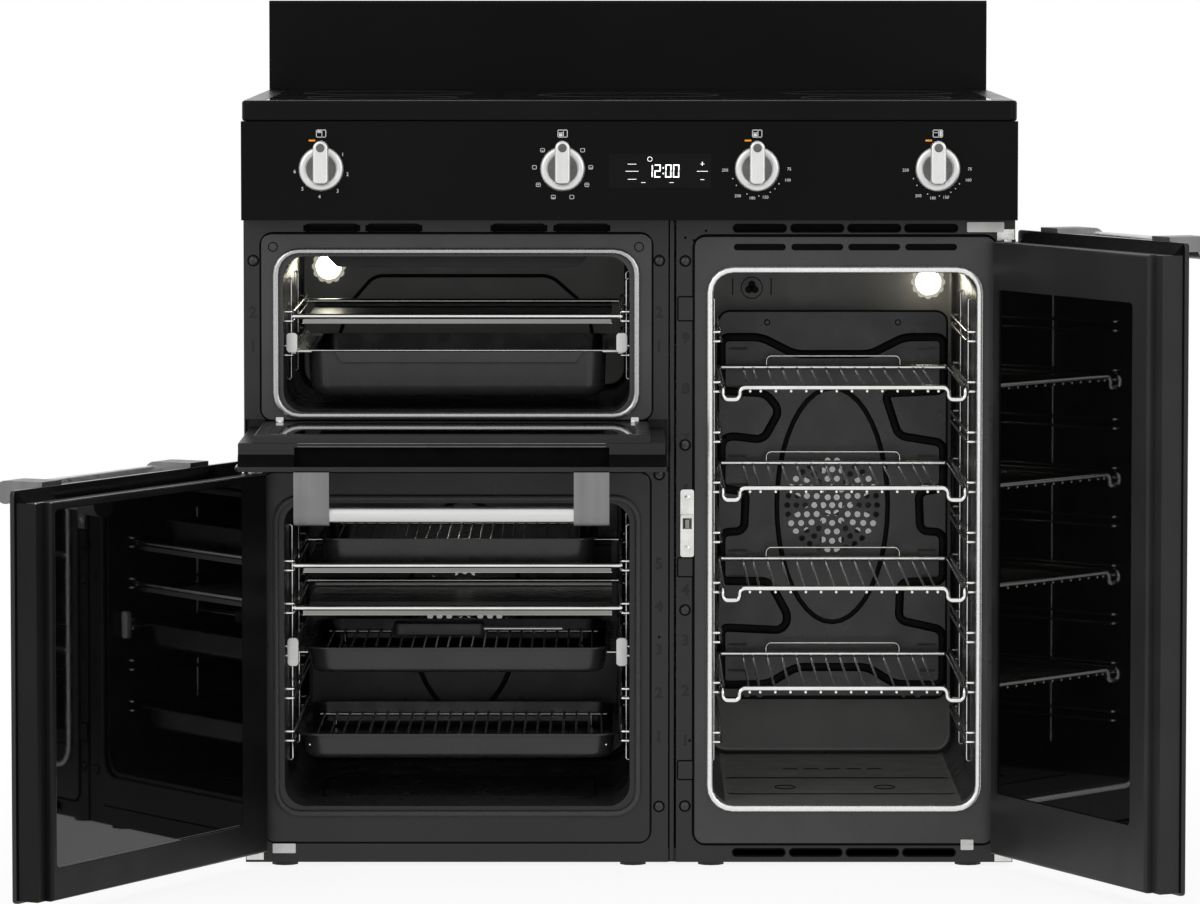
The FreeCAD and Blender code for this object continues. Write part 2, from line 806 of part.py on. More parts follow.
def make_pan(width, length, depth, rim_z, y0):
    """Deep-drawn pan: drafted walls with round corners and a flat rolled-out rim."""
    x0 = left_cavity_centre - width / 2
    x1 = left_cavity_centre + width / 2
    y1 = y0 + length
    rim = pan_rim
    draft = pan_draft
    bottom = rim_z - depth
    wall = pan_wall
    outer_low = plan_loop(x0 + rim + draft, x1 - rim - draft, y0 + rim + draft, y1 - rim - draft, bottom, pan_corner)
    outer_top = plan_loop(x0 + rim, x1 - rim, y0 + rim, y1 - rim, rim_z, pan_corner)
    body = Part.makeLoft([outer_low, outer_top], True, True)
    flange = Part.Face(plan_loop(x0, x1, y0, y1, rim_z - wall, pan_corner + rim / 2)).extrude(V(0, 0, wall))
    x2 = x0 + rim + wall
    x3 = x1 - rim - wall
    y2 = y0 + rim + wall
    y3 = y1 - rim - wall
    inner_low = plan_loop(x2 + draft, x3 - draft, y2 + draft, y3 - draft, bottom + wall, pan_corner - wall)
    inner_top = plan_loop(x2, x3, y2, y3, rim_z, pan_corner - wall)
    hollow = Part.makeLoft([inner_low, inner_top], True, True)
    return body.fuse(flange).cut(hollow).removeSplitter()


def make_grid(width, length, rim_z, depth, y0):
    """Wire grid that stands in a pan on its bent ends."""
    x = left_cavity_centre
    half = width / 2 - grid_inset
    ya = y0 + grid_inset
    yb = y0 + length - grid_inset
    z = rim_z + grid_lift
    foot = rim_z - depth + pan_wall + seat_gap
    stand = width / 2 - grid_foot_inset
    pieces = []
    for y in (ya, yb):
        pieces.append(rod([V(x - half, y, z), V(x + half, y, z)], wire_thin, V(0, 0, 1), 4))
        for side in (-1, 1):
            leg = [V(x + side * stand, y, foot), V(x + side * stand, y, z - wire_thin / 2)]
            pieces.append(rod(leg, wire_thin, V(1, 0, 0), 4))
    z_top = z + wire_thin
    for i in range(grid_wires):
        column = x - half + 6.0 + (2 * half - 12.0) * i / (grid_wires - 1)
        pieces.append(rod([V(column, ya - 3, z_top), V(column, yb + 3, z_top)], wire_thin, V(0, 0, 1), 4))
    return pieces


def make_pan_grip(rim_z):
    """Clip-on grip that lies on the grid of the middle pan, with two wire arms."""
    z = rim_z + grid_lift + 1.5 * wire_thin + seat_gap
    x0 = left_cavity_centre - 76.0
    x1 = x0 + grip_length
    y0 = front_y + pan_front + grid_inset + grip_offset
    grip = Part.Face(plan_loop(x0, x1, y0, y0 + grip_width, z, 8.0)).extrude(V(0, 0, grip_height))
    groove = box(x0 + 12.0, x1 - 12.0, y0 + grip_width / 2 - 4, y0 + grip_width / 2 + 4, z + grip_height - 3, z + grip_height + 1)
    grip = grip.cut(groove)
    arms = []
    for share in (0.3, 0.7):
        y = y0 + grip_width * share
        start = V(x1, y, z + grip_height / 2)
        arms.append(rod([start, V(x1 + grip_arm, y, z + grip_height / 2)], wire_thin, V(0, 0, 1), 4))
    return [grip] + arms


# ---- telescopic runners ----
def runner_wall(side):
    return left_cavity_centre + side * left_cavity_width / 2


def make_runner_tracks(level_z):
    """Fixed channel of a telescopic runner on each side, held between the two guide wires."""
    y0 = front_y + ladder_front - ladder_wire / 2
    z0 = level_z + ladder_wire / 2 + seat_gap
    z1 = level_z + guide_spacing - ladder_wire / 2 - seat_gap
    t = runner_sheet
    tracks = []
    for side in (-1, 1):
        wall = runner_wall(side)
        a = wall - side * (ladder_reach - ladder_wire / 2 + seat_gap)
        b = a - side * runner_width
        outline = [V(b, y0, z0), V(a, y0, z0), V(a, y0, z1), V(b, y0, z1), V(b, y0, z1 - t)]
        inner = a - side * t
        outline += [V(inner, y0, z1 - t), V(inner, y0, z0 + t), V(b, y0, z0 + t)]
        tracks.append(ring_face(outline).extrude(V(0, runner_length, 0)))
    return tracks


def runner_pan_rim(level_z):
    return level_z + ladder_wire / 2 + 2 * runner_sheet + runner_play + 2 * seat_gap + pan_wall


def make_runner_rails(level_z, pan_reach, cap_bottom, cap_height):
    """Sliding rails with an inward ledge for the pan's rim and a light cap on each front end."""
    y0 = front_y + ladder_front - ladder_wire
    y1 = y0 + runner_length
    z0 = level_z + ladder_wire / 2 + seat_gap + runner_sheet + runner_play
    z1 = level_z + guide_spacing - ladder_wire / 2 - seat_gap - runner_sheet - runner_play
    rails = []
    for side in (-1, 1):
        wall = runner_wall(side)
        a = wall - side * (ladder_reach - ladder_wire / 2 + seat_gap + runner_sheet + runner_play)
        b = a - side * runner_web
        c = wall - side * (pan_reach + runner_ledge)
        top = z0 + runner_sheet
        outline = [V(a, y0, z0), V(c, y0, z0), V(c, y0, top), V(b, y0, top), V(b, y0, z1), V(a, y0, z1)]
        rail = ring_face(outline).extrude(V(0, y1 - y0, 0))
        cap_x = wall - side * 9.0
        x0 = cap_x - runner_cap_width / 2
        x1 = cap_x + runner_cap_width / 2
        front = y0 - runner_cap_depth
        cap = slab(x0, x1, cap_bottom, cap_bottom + cap_height, front, y0, 2.5)
        rails.append(rail.fuse(cap).removeSplitter())
    return rails


def make_grill_element():
    """Roof heating element under a steel deflector."""
    x = left_cavity_centre
    top = grill_mouth_top
    y0 = front_y + 40.0
    y1 = front_y + baffle_depth - seat_gap
    t = deflector_sheet
    half = deflector_half
    outline = [V(x - half - 12, y0, top - 2), V(x - half, y0, top - 14), V(x + half, y0, top - 14), V(x + half + 12, y0, top - 2)]
    outline += [V(x + half + 12 - t, y0, top - 2), V(x + half - t, y0, top - 14 + t)]
    outline += [V(x - half + t, y0, top - 14 + t), V(x - half - 12 + t, y0, top - 2)]
    shade = ring_face(outline).extrude(V(0, 12.0, 0))
    arms = [box(x + s * 120 - 6, x + s * 120 + 6, y0 + 2, y0 + 3.5, top - 13, top) for s in (-1, 1)]
    shade = shade.fuse(arms).removeSplitter()
    z = top - 8.0
    a = y0 + 30.0
    b = y1 - 70.0
    columns = (-130.0, -78.0, -26.0, 26.0, 78.0, 130.0)
    route = [V(x + columns[0], y1, z)]
    for i, column in enumerate(columns):
        near, far = (b, a) if i % 2 == 0 else (a, b)
        if i > 0:
            route.append(V(x + column, near, z))
        if i < len(columns) - 1:
            route.append(V(x + column, far, z))
    route.append(V(x + columns[-1], y1, z))
    return [shade, rod(route, element_wire, V(0, 0, 1), 4)]


def make_lamps():
    """Domed lenses of the oven lamps, seated on the rear walls and the roof."""
    dome = [(0, 0), (lamp_radius - 6, 0), (lamp_radius, 5.0), (lamp_radius, lamp_height), (0, lamp_height)]
    wall_y = front_y + baffle_depth - lamp_height - seat_gap
    roof = main_mouth_top - lamp_height - seat_gap
    lamps = []
    lamps.append(turned(dome, V(grill_lamp_x, wall_y, grill_mouth_top - lamp_below_mouth), V(0, 1, 0), 12))
    lamps.append(turned(dome, V(tall_lamp_x, wall_y, tall_mouth_top - lamp_below_mouth), V(0, 1, 0), 12))
    lamps.append(turned(dome, V(left_cavity_centre, front_y + baffle_depth - 60.0, roof), V(0, 0, 1), 12))
    return lamps


# ---- doors ----
def door_frame(x0, x1, z0, z1, left_step, right_step):
    """Box of a closed door behind its outer panel, with the raised liner towards the oven."""
    inset = door_box_inset
    step = z1 - door_top_step
    slope_y = door_box_y + door_top_slope
    face_y = door_inner_y - door_liner_height
    outline = [(door_box_y, z0 + inset), (face_y, z0 + inset), (face_y, step), (slope_y, step), (door_box_y, z1 - 1.0)]
    frame = side_profile(outline, x0 + inset, x1 - inset)
    liner = box(x0 + left_step, x1 - right_step, face_y, door_inner_y, z0 + inset, step)
    return frame.fuse(liner).removeSplitter()


def glass_seat(window, edge, pane_y, depth):
    wx0, wx1, wz0, wz1 = window
    return slab(wx0 - edge, wx1 + edge, wz0 - edge, wz1 + edge, pane_y, pane_y + depth, 6.0)


def make_handle(left, right, top):
    """Two curved brackets with a round bar between them."""
    bar_y = door_outer_y - handle_reach
    bar_z = top - handle_below_top
    nose = handle_nose_radius
    outline = [V(left, door_outer_y, bar_z + nose)]
    for i in range(7):
        angle = math.radians(90.0 + 30.0 * i)
        outline.append(V(left, bar_y + nose * math.cos(angle), bar_z + nose * math.sin(angle)))
    outline.append(V(left, door_outer_y, bar_z - nose * 0.3))
    bracket = ring_face(outline).extrude(V(bracket_width, 0, 0))
    other = bracket.copy()
    other.translate(V(right - left - bracket_width, 0, 0))
    length = right - left - 2 * bracket_width
    bar = prism(V(left + bracket_width, bar_y, bar_z), V(1, 0, 0), handle_bar_radius, length, round_sides)
    return [bracket, other, bar]


def door_pieces(x0, x1, z0, z1, window, recess, handle_span, steps, cuts):
    """A closed door: outer panel, box frame, inner glass and handle."""
    skin = slab(x0, x1, z0, z1, door_outer_y, door_box_y, door_corner_radius)
    frame = door_frame(x0, x1, z0, z1, steps[0], steps[1])
    wx0, wx1, wz0, wz1 = window
    frame = frame.cut(slab(wx0, wx1, wz0, wz1, door_box_y - 1, door_inner_y + 1, 4.0))
    pane_y = door_inner_y - recess - door_glass
    frame = frame.cut(glass_seat(window, glass_rebate, pane_y, door_glass + (0 if recess else 1)))
    glass = glass_seat(window, glass_rebate - seat_gap, pane_y, door_glass)
    left = (x0 + x1 - handle_span) / 2
    right = left + handle_span
    pocket_floor = z1 - door_top_step - pocket_depth
    frame = frame.cut(box(left, right, door_box_y, door_box_y + pocket_width, pocket_floor, z1 + 1))
    for cut in cuts:
        frame = frame.cut(cut)
    return {"panel": skin, "frame": frame, "glass": glass, "handle": make_handle(left, right, z1)}


def swung(shape, centre, axis, angle):
    turned_shape = shape.copy()
    turned_shape.rotate(centre, axis, angle)
    return turned_shape


def pin_room(x, bottom, top):
    """Bores in a side-hung door for its two hinge pins, with room for the tongues."""
    bore = hinge_pin_radius + hinge_fit
    reach = hinge_pin_length + 1.0
    step = top - door_top_step
    foot = bottom + door_box_inset
    low = prism(V(x, side_hinge_y, foot - 1), V(0, 0, 1), bore, reach + 1, 12)
    high = prism(V(x, side_hinge_y, step - reach), V(0, 0, 1), bore, reach + 1, 12)
    notch = box(x - hinge_notch, x + hinge_notch, door_box_y, door_inner_y + 1, step, top + 1)
    return [low, high, notch]


def tongue(x, z, pin_up, plate_side):
    """Hinge tongue that reaches forward from the front frame, with its pivot pin."""
    half = hinge_tongue_half
    t = hinge_tongue_sheet
    edge = x + math.copysign(half, x)
    y = side_hinge_y
    outline = [V(x - half, front_y, z), V(x - half, y, z)]
    for i in range(1, 5):
        angle = math.radians(180.0 + 36.0 * i)
        outline.append(V(x + half * math.cos(angle), y + half * math.sin(angle), z))
    outline += [V(x + half, y, z), V(x + half, front_y, z)]
    arm = ring_face(outline).extrude(V(0, 0, t))
    far = edge - math.copysign(hinge_plate_width, x)
    z0 = z if plate_side > 0 else z + t - hinge_plate_height
    plate = box(min(edge, far), max(edge, far), front_y - t, front_y, z0, z0 + hinge_plate_height)
    start = z if pin_up else z - hinge_pin_length
    pin = prism(V(x, y, start), V(0, 0, 1), pin_flat, hinge_pin_length + t, round_sides)
    return arm.fuse([plate, pin]).removeSplitter()


def grill_arm(side):
    x = left_cavity_centre + side * grill_arm_spacing / 2
    half = grill_arm_sheet / 2
    rear = front_y + recess_depth - sheet
    room = grill_arm_radius
    outline = [(rear, grill_axis_z - room), (rear, grill_axis_z + 3.0), (grill_axis_y, grill_axis_z + 3.0)]
    for i in range(1, 5):
        angle = math.radians(90.0 + 36.0 * i)
        outline.append((grill_axis_y + room * math.cos(angle), grill_axis_z + room * math.sin(angle)))
    outline.append((grill_axis_y, grill_axis_z - room))
    arm = side_profile(outline, x - half, x + half)
    start = V(x - grill_pin_length / 2, grill_axis_y, grill_axis_z)
    pin = prism(start, V(1, 0, 0), pin_flat, grill_pin_length, round_sides)
    return arm.fuse(pin).removeSplitter()


def make_hinges():
    solids = []
    main = (-side_hinge_x, main_door_bottom, main_door_top, -1)
    tall = (side_hinge_x, tall_door_bottom, tall_door_top, 1)
    for x, bottom, top, plate_side in (main, tall):
        low_z = bottom + door_box_inset - hinge_tongue_sheet - seat_gap
        solids.append(tongue(x, low_z, True, -1))
        solids.append(tongue(x, top - door_top_step + seat_gap, False, plate_side))
    return solids + [grill_arm(-1), grill_arm(1)]


def grill_hinge_room():
    cuts = []
    for side in (-1, 1):
        x = left_cavity_centre + side * grill_arm_spacing / 2
        half = grill_arm_sheet / 2 + 1.0
        room = grill_arm_radius + 1.0
        y0 = grill_axis_y - room
        cuts.append(box(x - half, x + half, y0, door_inner_y + 1, grill_door_bottom, grill_axis_z + room))
        reach = grill_pin_length / 2 + 0.5
        bore = hinge_pin_radius + hinge_fit
        cuts.append(prism(V(x - reach, grill_axis_y, grill_axis_z), V(1, 0, 0), bore, 2 * reach, 12))
    return cuts


# ---- tall door catch ----
def roller_room(y0, y1):
    room = catch_roller_radius + catch_play
    tall = catch_roller_length / 2 + catch_play
    x = catch_centre_x
    return box(x - room, x + room, y0, y1, catch_centre_z - tall, catch_centre_z + tall)


def make_catch_plate():
    y0 = front_y - catch_plate_sheet
    half = catch_width / 2
    x = catch_centre_x
    z0 = catch_centre_z - catch_length / 2
    plate = slab(x - half, x + half, z0, z0 + catch_length, y0, front_y, 3.0)
    tall = catch_roller_length / 2 + 4.0
    plate = plate.fuse(box(x - half, x + half, y0 - catch_yoke, y0, catch_centre_z - tall, catch_centre_z + tall))
    return plate.cut(roller_room(y0 - catch_yoke - 1, front_y + 1)).removeSplitter()


def make_catch_roller():
    place = V(catch_centre_x, front_y - catch_reach + catch_roller_radius, catch_centre_z - catch_roller_length / 2)
    return prism(place, V(0, 0, 1), catch_roller_radius * math.cos(math.pi / 12), catch_roller_length, 12)


# ---- hob and controls ----
def make_hob_frame():
    """Raised enamel surround of the hob glass, with a front edge that slopes down."""
    x = half_width - 1.0
    y0 = facia_front
    z0 = facia_top + seat_gap
    bevel = hob_bevel
    outline = [(y0, z0), (rear_y, z0), (rear_y, hob_height), (y0 + bevel, hob_height), (y0, hob_height - bevel)]
    block = side_profile(outline, -x, x)
    gx = half_width - hob_side_band
    gy0 = y0 + hob_front_band
    gy1 = rear_y - hob_rear_band
    block = block.cut(box(-gx, gx, gy0, gy1, hob_height - hob_glass_thickness, hob_height + 1))
    ledge = hob_ledge
    return block.cut(box(-gx + ledge, gx - ledge, gy0 + ledge, gy1 - ledge, facia_top, hob_height))


def make_hob_glass():
    gx = half_width - hob_side_band - seat_gap
    gy0 = facia_front + hob_front_band + seat_gap
    gy1 = rear_y - hob_rear_band - seat_gap
    return box(-gx, gx, gy0, gy1, hob_height - hob_glass_thickness, hob_height)


def make_coils():
    z = hob_height - hob_glass_thickness - coil_thickness - seat_gap
    coils = []
    for x, depth, radius in coil_places:
        coils.append(prism(V(x, front_y + depth, z), V(0, 0, 1), radius, coil_thickness, 12))
    return coils


def make_splashback():
    """Upstand folded from one sheet: front, top and two ends."""
    x = splashback_width / 2
    y0 = rear_y - splashback_thickness
    z1 = hob_height + splashback_height
    outline = [(y0, hob_height), (rear_y, hob_height), (rear_y, z1), (y0 + 3.0, z1), (y0, z1 - 3.0)]
    panel = side_profile(outline, -x, x)
    return panel.cut(box(-x + sheet, x - sheet, y0 + sheet + 1.5, rear_y + 1, hob_height - 1, z1 - sheet))


def display_plate(gap, y0, y1):
    half = display_height / 2 - gap
    x0 = display_left + gap
    x1 = display_left + display_width - gap
    return slab(x0, x1, display_centre_z - half, display_centre_z + half, y0, y1, 2.0)


def make_facia():
    x = half_width
    wall = facia_wall
    y1 = front_y + frame_sheet
    z0 = facia_bottom + seat_gap
    panel = box(-x, x, facia_front, y1, z0, facia_top)
    panel = panel.cut(box(-x + wall, x - wall, facia_front + wall, y1 + 1, z0 + wall, facia_top - wall))
    for kx in knob_columns:
        place = V(kx, facia_front - 1, knob_height)
        panel = panel.cut(prism(place, V(0, 1, 0), spindle_radius + 2.0, wall + 2, 12))
    return panel.cut(display_plate(0.0, facia_front - 1, facia_front + display_thickness))


def make_switches():
    """Rotary switch bodies behind the facia, one for each knob spindle."""
    y0 = facia_front + facia_wall
    half = switch_size / 2
    bore = spindle_radius / math.cos(math.pi / 12) + spindle_clearance
    solids = []
    for x in knob_columns:
        body = box(x - half, x + half, y0, y0 + switch_depth, knob_height - half, knob_height + half)
        hole = prism(V(x, y0 - 1, knob_height), V(0, 1, 0), bore, spindle_length, 12)
        solids.append(body.cut(hole))
    return solids


def make_knob(x):
    """Ringed base, dished centre and a raised grip with a round eye near its tip."""
    back = facia_front - seat_gap
    face = back - knob_base
    dish = knob_base - knob_dish_depth
    profile = [(0, 0), (knob_radius - 1.0, 0), (knob_radius, 1.5), (knob_radius - 1.5, knob_base)]
    profile += [(knob_dish_radius + 1.0, knob_base), (knob_dish_radius, dish), (0, dish)]
    knob = turned(profile, V(0, back, 0), V(0, -1, 0), knob_sides)
    half = knob_grip_width / 2
    low = back - dish + 1.0
    outline = [V(-half, low, -knob_tail_reach + 3.0), V(0, low, -knob_tail_reach), V(half, low, -knob_tail_reach + 3.0)]
    for i in range(7):
        angle = math.radians(30.0 * i)
        outline.append(V(half * math.cos(angle), low, knob_tip_reach + half * math.sin(angle)))
    front = face - knob_grip_depth
    grip = ring_face(outline).extrude(V(0, front - low, 0))
    eye = prism(V(0, front - 1, knob_tip_reach), V(0, 1, 0), knob_eye_radius, 2.5, 12)
    knob = knob.fuse(grip).cut(eye)
    spindle = prism(V(0, back - 1, 0), V(0, 1, 0), spindle_radius, spindle_length, 12)
    knob = knob.fuse(spindle).removeSplitter()
    knob.translate(V(x, 0, knob_height))
    return knob


def make_body():
    export("feet", make_feet())
    export("chassis_base", make_chassis_base())
    export("side_panels", [make_side_panel(-1), make_side_panel(1)])
    export("rear_cover", make_rear_cover())
    export("terminal_block", make_terminal_block())
    export("left_front_frame", make_left_frame())
    export("right_front_frame", make_right_frame())
    export("frame_screws", make_frame_screws())
    export("hinge_brackets", make_hinges())
    export("catch_plate", make_catch_plate())
    export("catch_roller", make_catch_roller())


def make_ovens():
    export("grill_cavity", make_grill_cavity())
    export("main_cavity", make_main_cavity())
    export("tall_cavity", make_tall_cavity())
    seals = [make_seal(left_cavity, grill_mouth_bottom, grill_mouth_top, grill_seal_margins)]
    seals.append(make_seal(left_cavity, main_mouth_bottom, main_mouth_top, main_seal_margins))
    seals.append(make_seal(tall_cavity, tall_mouth_bottom, tall_mouth_top, tall_seal_margins))
    export("door_seals", seals)
    baffles = [make_baffle(left_cavity, main_mouth_bottom, main_mouth_top, fan_height_main, cover_rings_main)]
    baffles.append(make_baffle(tall_cavity, tall_mouth_bottom, tall_mouth_top, fan_height_tall, cover_rings_tall))
    export("rear_baffles", baffles)
    places = ((left_cavity_centre, fan_height_main), (tall_cavity_centre, fan_height_tall))
    export("main_fan", make_fan(*places[0]))
    export("tall_fan", make_fan(*places[1]))
    export("fan_motors", [make_motor(x, z) for x, z in places])
    export("heating_elements", make_grill_element() + [make_ring_element(x, z) for x, z in places])
    export("oven_lamps", make_lamps())
    export("side_ladders", make_ladders())


def make_furniture():
    for number, level in enumerate(shelf_places, 1):
        export("tall_shelf_%d" % number, make_shelf(tall_levels_z[level - 1]))
    export("grill_tray", make_steel_tray(grill_levels_z[1]))
    export("upper_tray", make_steel_tray(main_levels_z[4]))
    export("lower_tray", make_steel_tray(main_levels_z[3]))
    y0 = front_y + pan_front
    rim = runner_pan_rim(grill_levels_z[0])
    width = left_cavity_width - 2 * grill_pan_reach
    export("grill_pan", make_pan(width, pan_length, grill_pan_depth, rim, y0))
    rim = runner_pan_rim(main_levels_z[2])
    width = left_cavity_width - 2 * middle_pan_reach
    pan = [make_pan(width, pan_length, pan_depth, rim, y0)]
    export("middle_pan", pan + make_grid(width, pan_length, rim, pan_depth, y0))
    export("pan_grip", make_pan_grip(rim))
    rim = main_levels_z[0] + ladder_wire / 2 + pan_wall + seat_gap
    width = left_cavity_width - 2 * low_pan_reach
    pan = [make_pan(width, pan_length, pan_depth, rim, y0)]
    export("lower_pan", pan + make_grid(width, pan_length, rim, pan_depth, y0))
    floor = main_levels_z[4] + ladder_wire / 2 + wire_thick / 2 + seat_gap - tray_drop + tray_sheet
    rim = floor + seat_gap + small_pan_depth
    y0 = front_y + small_pan_front
    pan = [make_pan(small_pan_width, small_pan_length, small_pan_depth, rim, y0)]
    export("small_pan", pan + make_grid(small_pan_width, small_pan_length, rim, small_pan_depth, y0))
    export("runner_tracks", make_runner_tracks(grill_levels_z[0]) + make_runner_tracks(main_levels_z[2]))
    export("grill_rails", make_runner_rails(grill_levels_z[0], grill_pan_reach, grill_cap_bottom, grill_cap_height))
    export("main_rails", make_runner_rails(main_levels_z[2], middle_pan_reach, main_cap_bottom, main_cap_height))


def make_top():
    export("hob_frame", make_hob_frame())
    export("hob_glass", make_hob_glass())
    export("induction_coils", make_coils())
    export("splashback", make_splashback())
    export("facia_panel", make_facia())
    export("display_window", display_plate(display_gap, facia_front, facia_front + display_thickness))
    export("rotary_switches", make_switches())
    for number, x in enumerate(knob_columns, 1):
        export("knob_%d" % number, make_knob(x))


def export_door(name, door, centre, axis, angle):
    export(name + "_panel", swung(door["panel"], centre, axis, angle))
    export(name + "_frame", swung(door["frame"], centre, axis, angle))
    export(name + "_glass", swung(door["glass"], centre, axis, angle))
    export(name + "_handle", [swung(piece, centre, axis, angle) for piece in door["handle"]])


def make_doors():
    x0 = left_door_left
    x1 = left_door_right
    inset = door_liner_inset
    window = (x0 + 45.0, x1 - 45.0, grill_door_bottom + 55.0, grill_door_top - 40.0)
    door = door_pieces(x0, x1, grill_door_bottom, grill_door_top, window, 0.0, left_handle_span,
                       (inset, inset), grill_hinge_room())
    export_door("grill_door", door, V(0, grill_axis_y, grill_axis_z), V(1, 0, 0), grill_open_angle)

    window = (x0 + 69.7, x1 - 36.3, main_door_bottom + 48.0, main_door_top - 30.0)
    door = door_pieces(x0, x1, main_door_bottom, main_door_top, window, 0.0, left_handle_span,
                       (door_box_inset, inset), pin_room(-side_hinge_x, main_door_bottom, main_door_top))
    export_door("main_door", door, V(-side_hinge_x, side_hinge_y, 0), V(0, 0, 1), -main_open_angle)

    x0 = tall_door_left
    x1 = tall_door_right
    window = (x0 + 64.0, x1 - 24.0, tall_door_bottom + 84.0, tall_door_top - 77.0)
    door = door_pieces(x0, x1, tall_door_bottom, tall_door_top, window, tall_glass_recess, tall_handle_span,
                       (inset, door_box_inset), pin_room(side_hinge_x, tall_door_bottom, tall_door_top))
    export_door("tall_door", door, V(side_hinge_x, side_hinge_y, 0), V(0, 0, 1), tall_open_angle)


os.makedirs("parts", exist_ok=True)
make_body()
make_ovens()
make_furniture()
make_top()
make_doors()
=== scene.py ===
import json
import math

import bmesh
import bpy
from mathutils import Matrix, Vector

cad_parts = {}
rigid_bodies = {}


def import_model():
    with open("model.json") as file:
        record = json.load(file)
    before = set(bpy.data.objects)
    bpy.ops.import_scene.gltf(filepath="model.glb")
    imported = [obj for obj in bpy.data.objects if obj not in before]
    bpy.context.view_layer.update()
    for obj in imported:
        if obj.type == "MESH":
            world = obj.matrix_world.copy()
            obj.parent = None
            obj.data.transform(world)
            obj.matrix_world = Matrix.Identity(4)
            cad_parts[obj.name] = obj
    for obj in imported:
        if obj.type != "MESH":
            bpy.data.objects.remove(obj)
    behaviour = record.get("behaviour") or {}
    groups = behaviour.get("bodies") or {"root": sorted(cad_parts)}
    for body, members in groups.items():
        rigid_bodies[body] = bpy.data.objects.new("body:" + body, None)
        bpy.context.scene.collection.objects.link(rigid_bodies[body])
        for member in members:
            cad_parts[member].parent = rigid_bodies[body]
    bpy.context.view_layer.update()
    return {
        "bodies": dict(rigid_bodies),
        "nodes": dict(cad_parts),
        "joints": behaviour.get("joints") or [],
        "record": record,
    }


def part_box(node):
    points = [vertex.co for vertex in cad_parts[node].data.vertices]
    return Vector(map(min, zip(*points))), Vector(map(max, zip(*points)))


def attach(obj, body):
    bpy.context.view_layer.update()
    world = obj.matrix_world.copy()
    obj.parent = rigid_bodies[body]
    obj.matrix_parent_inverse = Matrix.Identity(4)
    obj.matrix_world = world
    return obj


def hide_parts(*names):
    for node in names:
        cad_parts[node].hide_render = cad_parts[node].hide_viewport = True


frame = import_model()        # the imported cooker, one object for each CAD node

nodes = frame["nodes"]
print("frame loaded,", len(nodes), "nodes")

mm = 0.001               # drawings are in millimetres, the scene in metres
fullTurn = 2 * math.pi
forward, inward = Vector((0, -1, 0)), Vector((0, 1, 0))
upward, downward = Vector((0, 0, 1)), Vector((0, 0, -1))
rightward = Vector((1, 0, 0))
leftMiddle = -200.5      # middle of the grill and main ovens
ventColumns = (151.4, 218.0, 284.0, 350.0)      # middles of the tall oven's cooling slots


def vec(x, y, z):
    return Vector((x, y, z)) * mm


def span(middle, half):
    return middle - half, middle + half


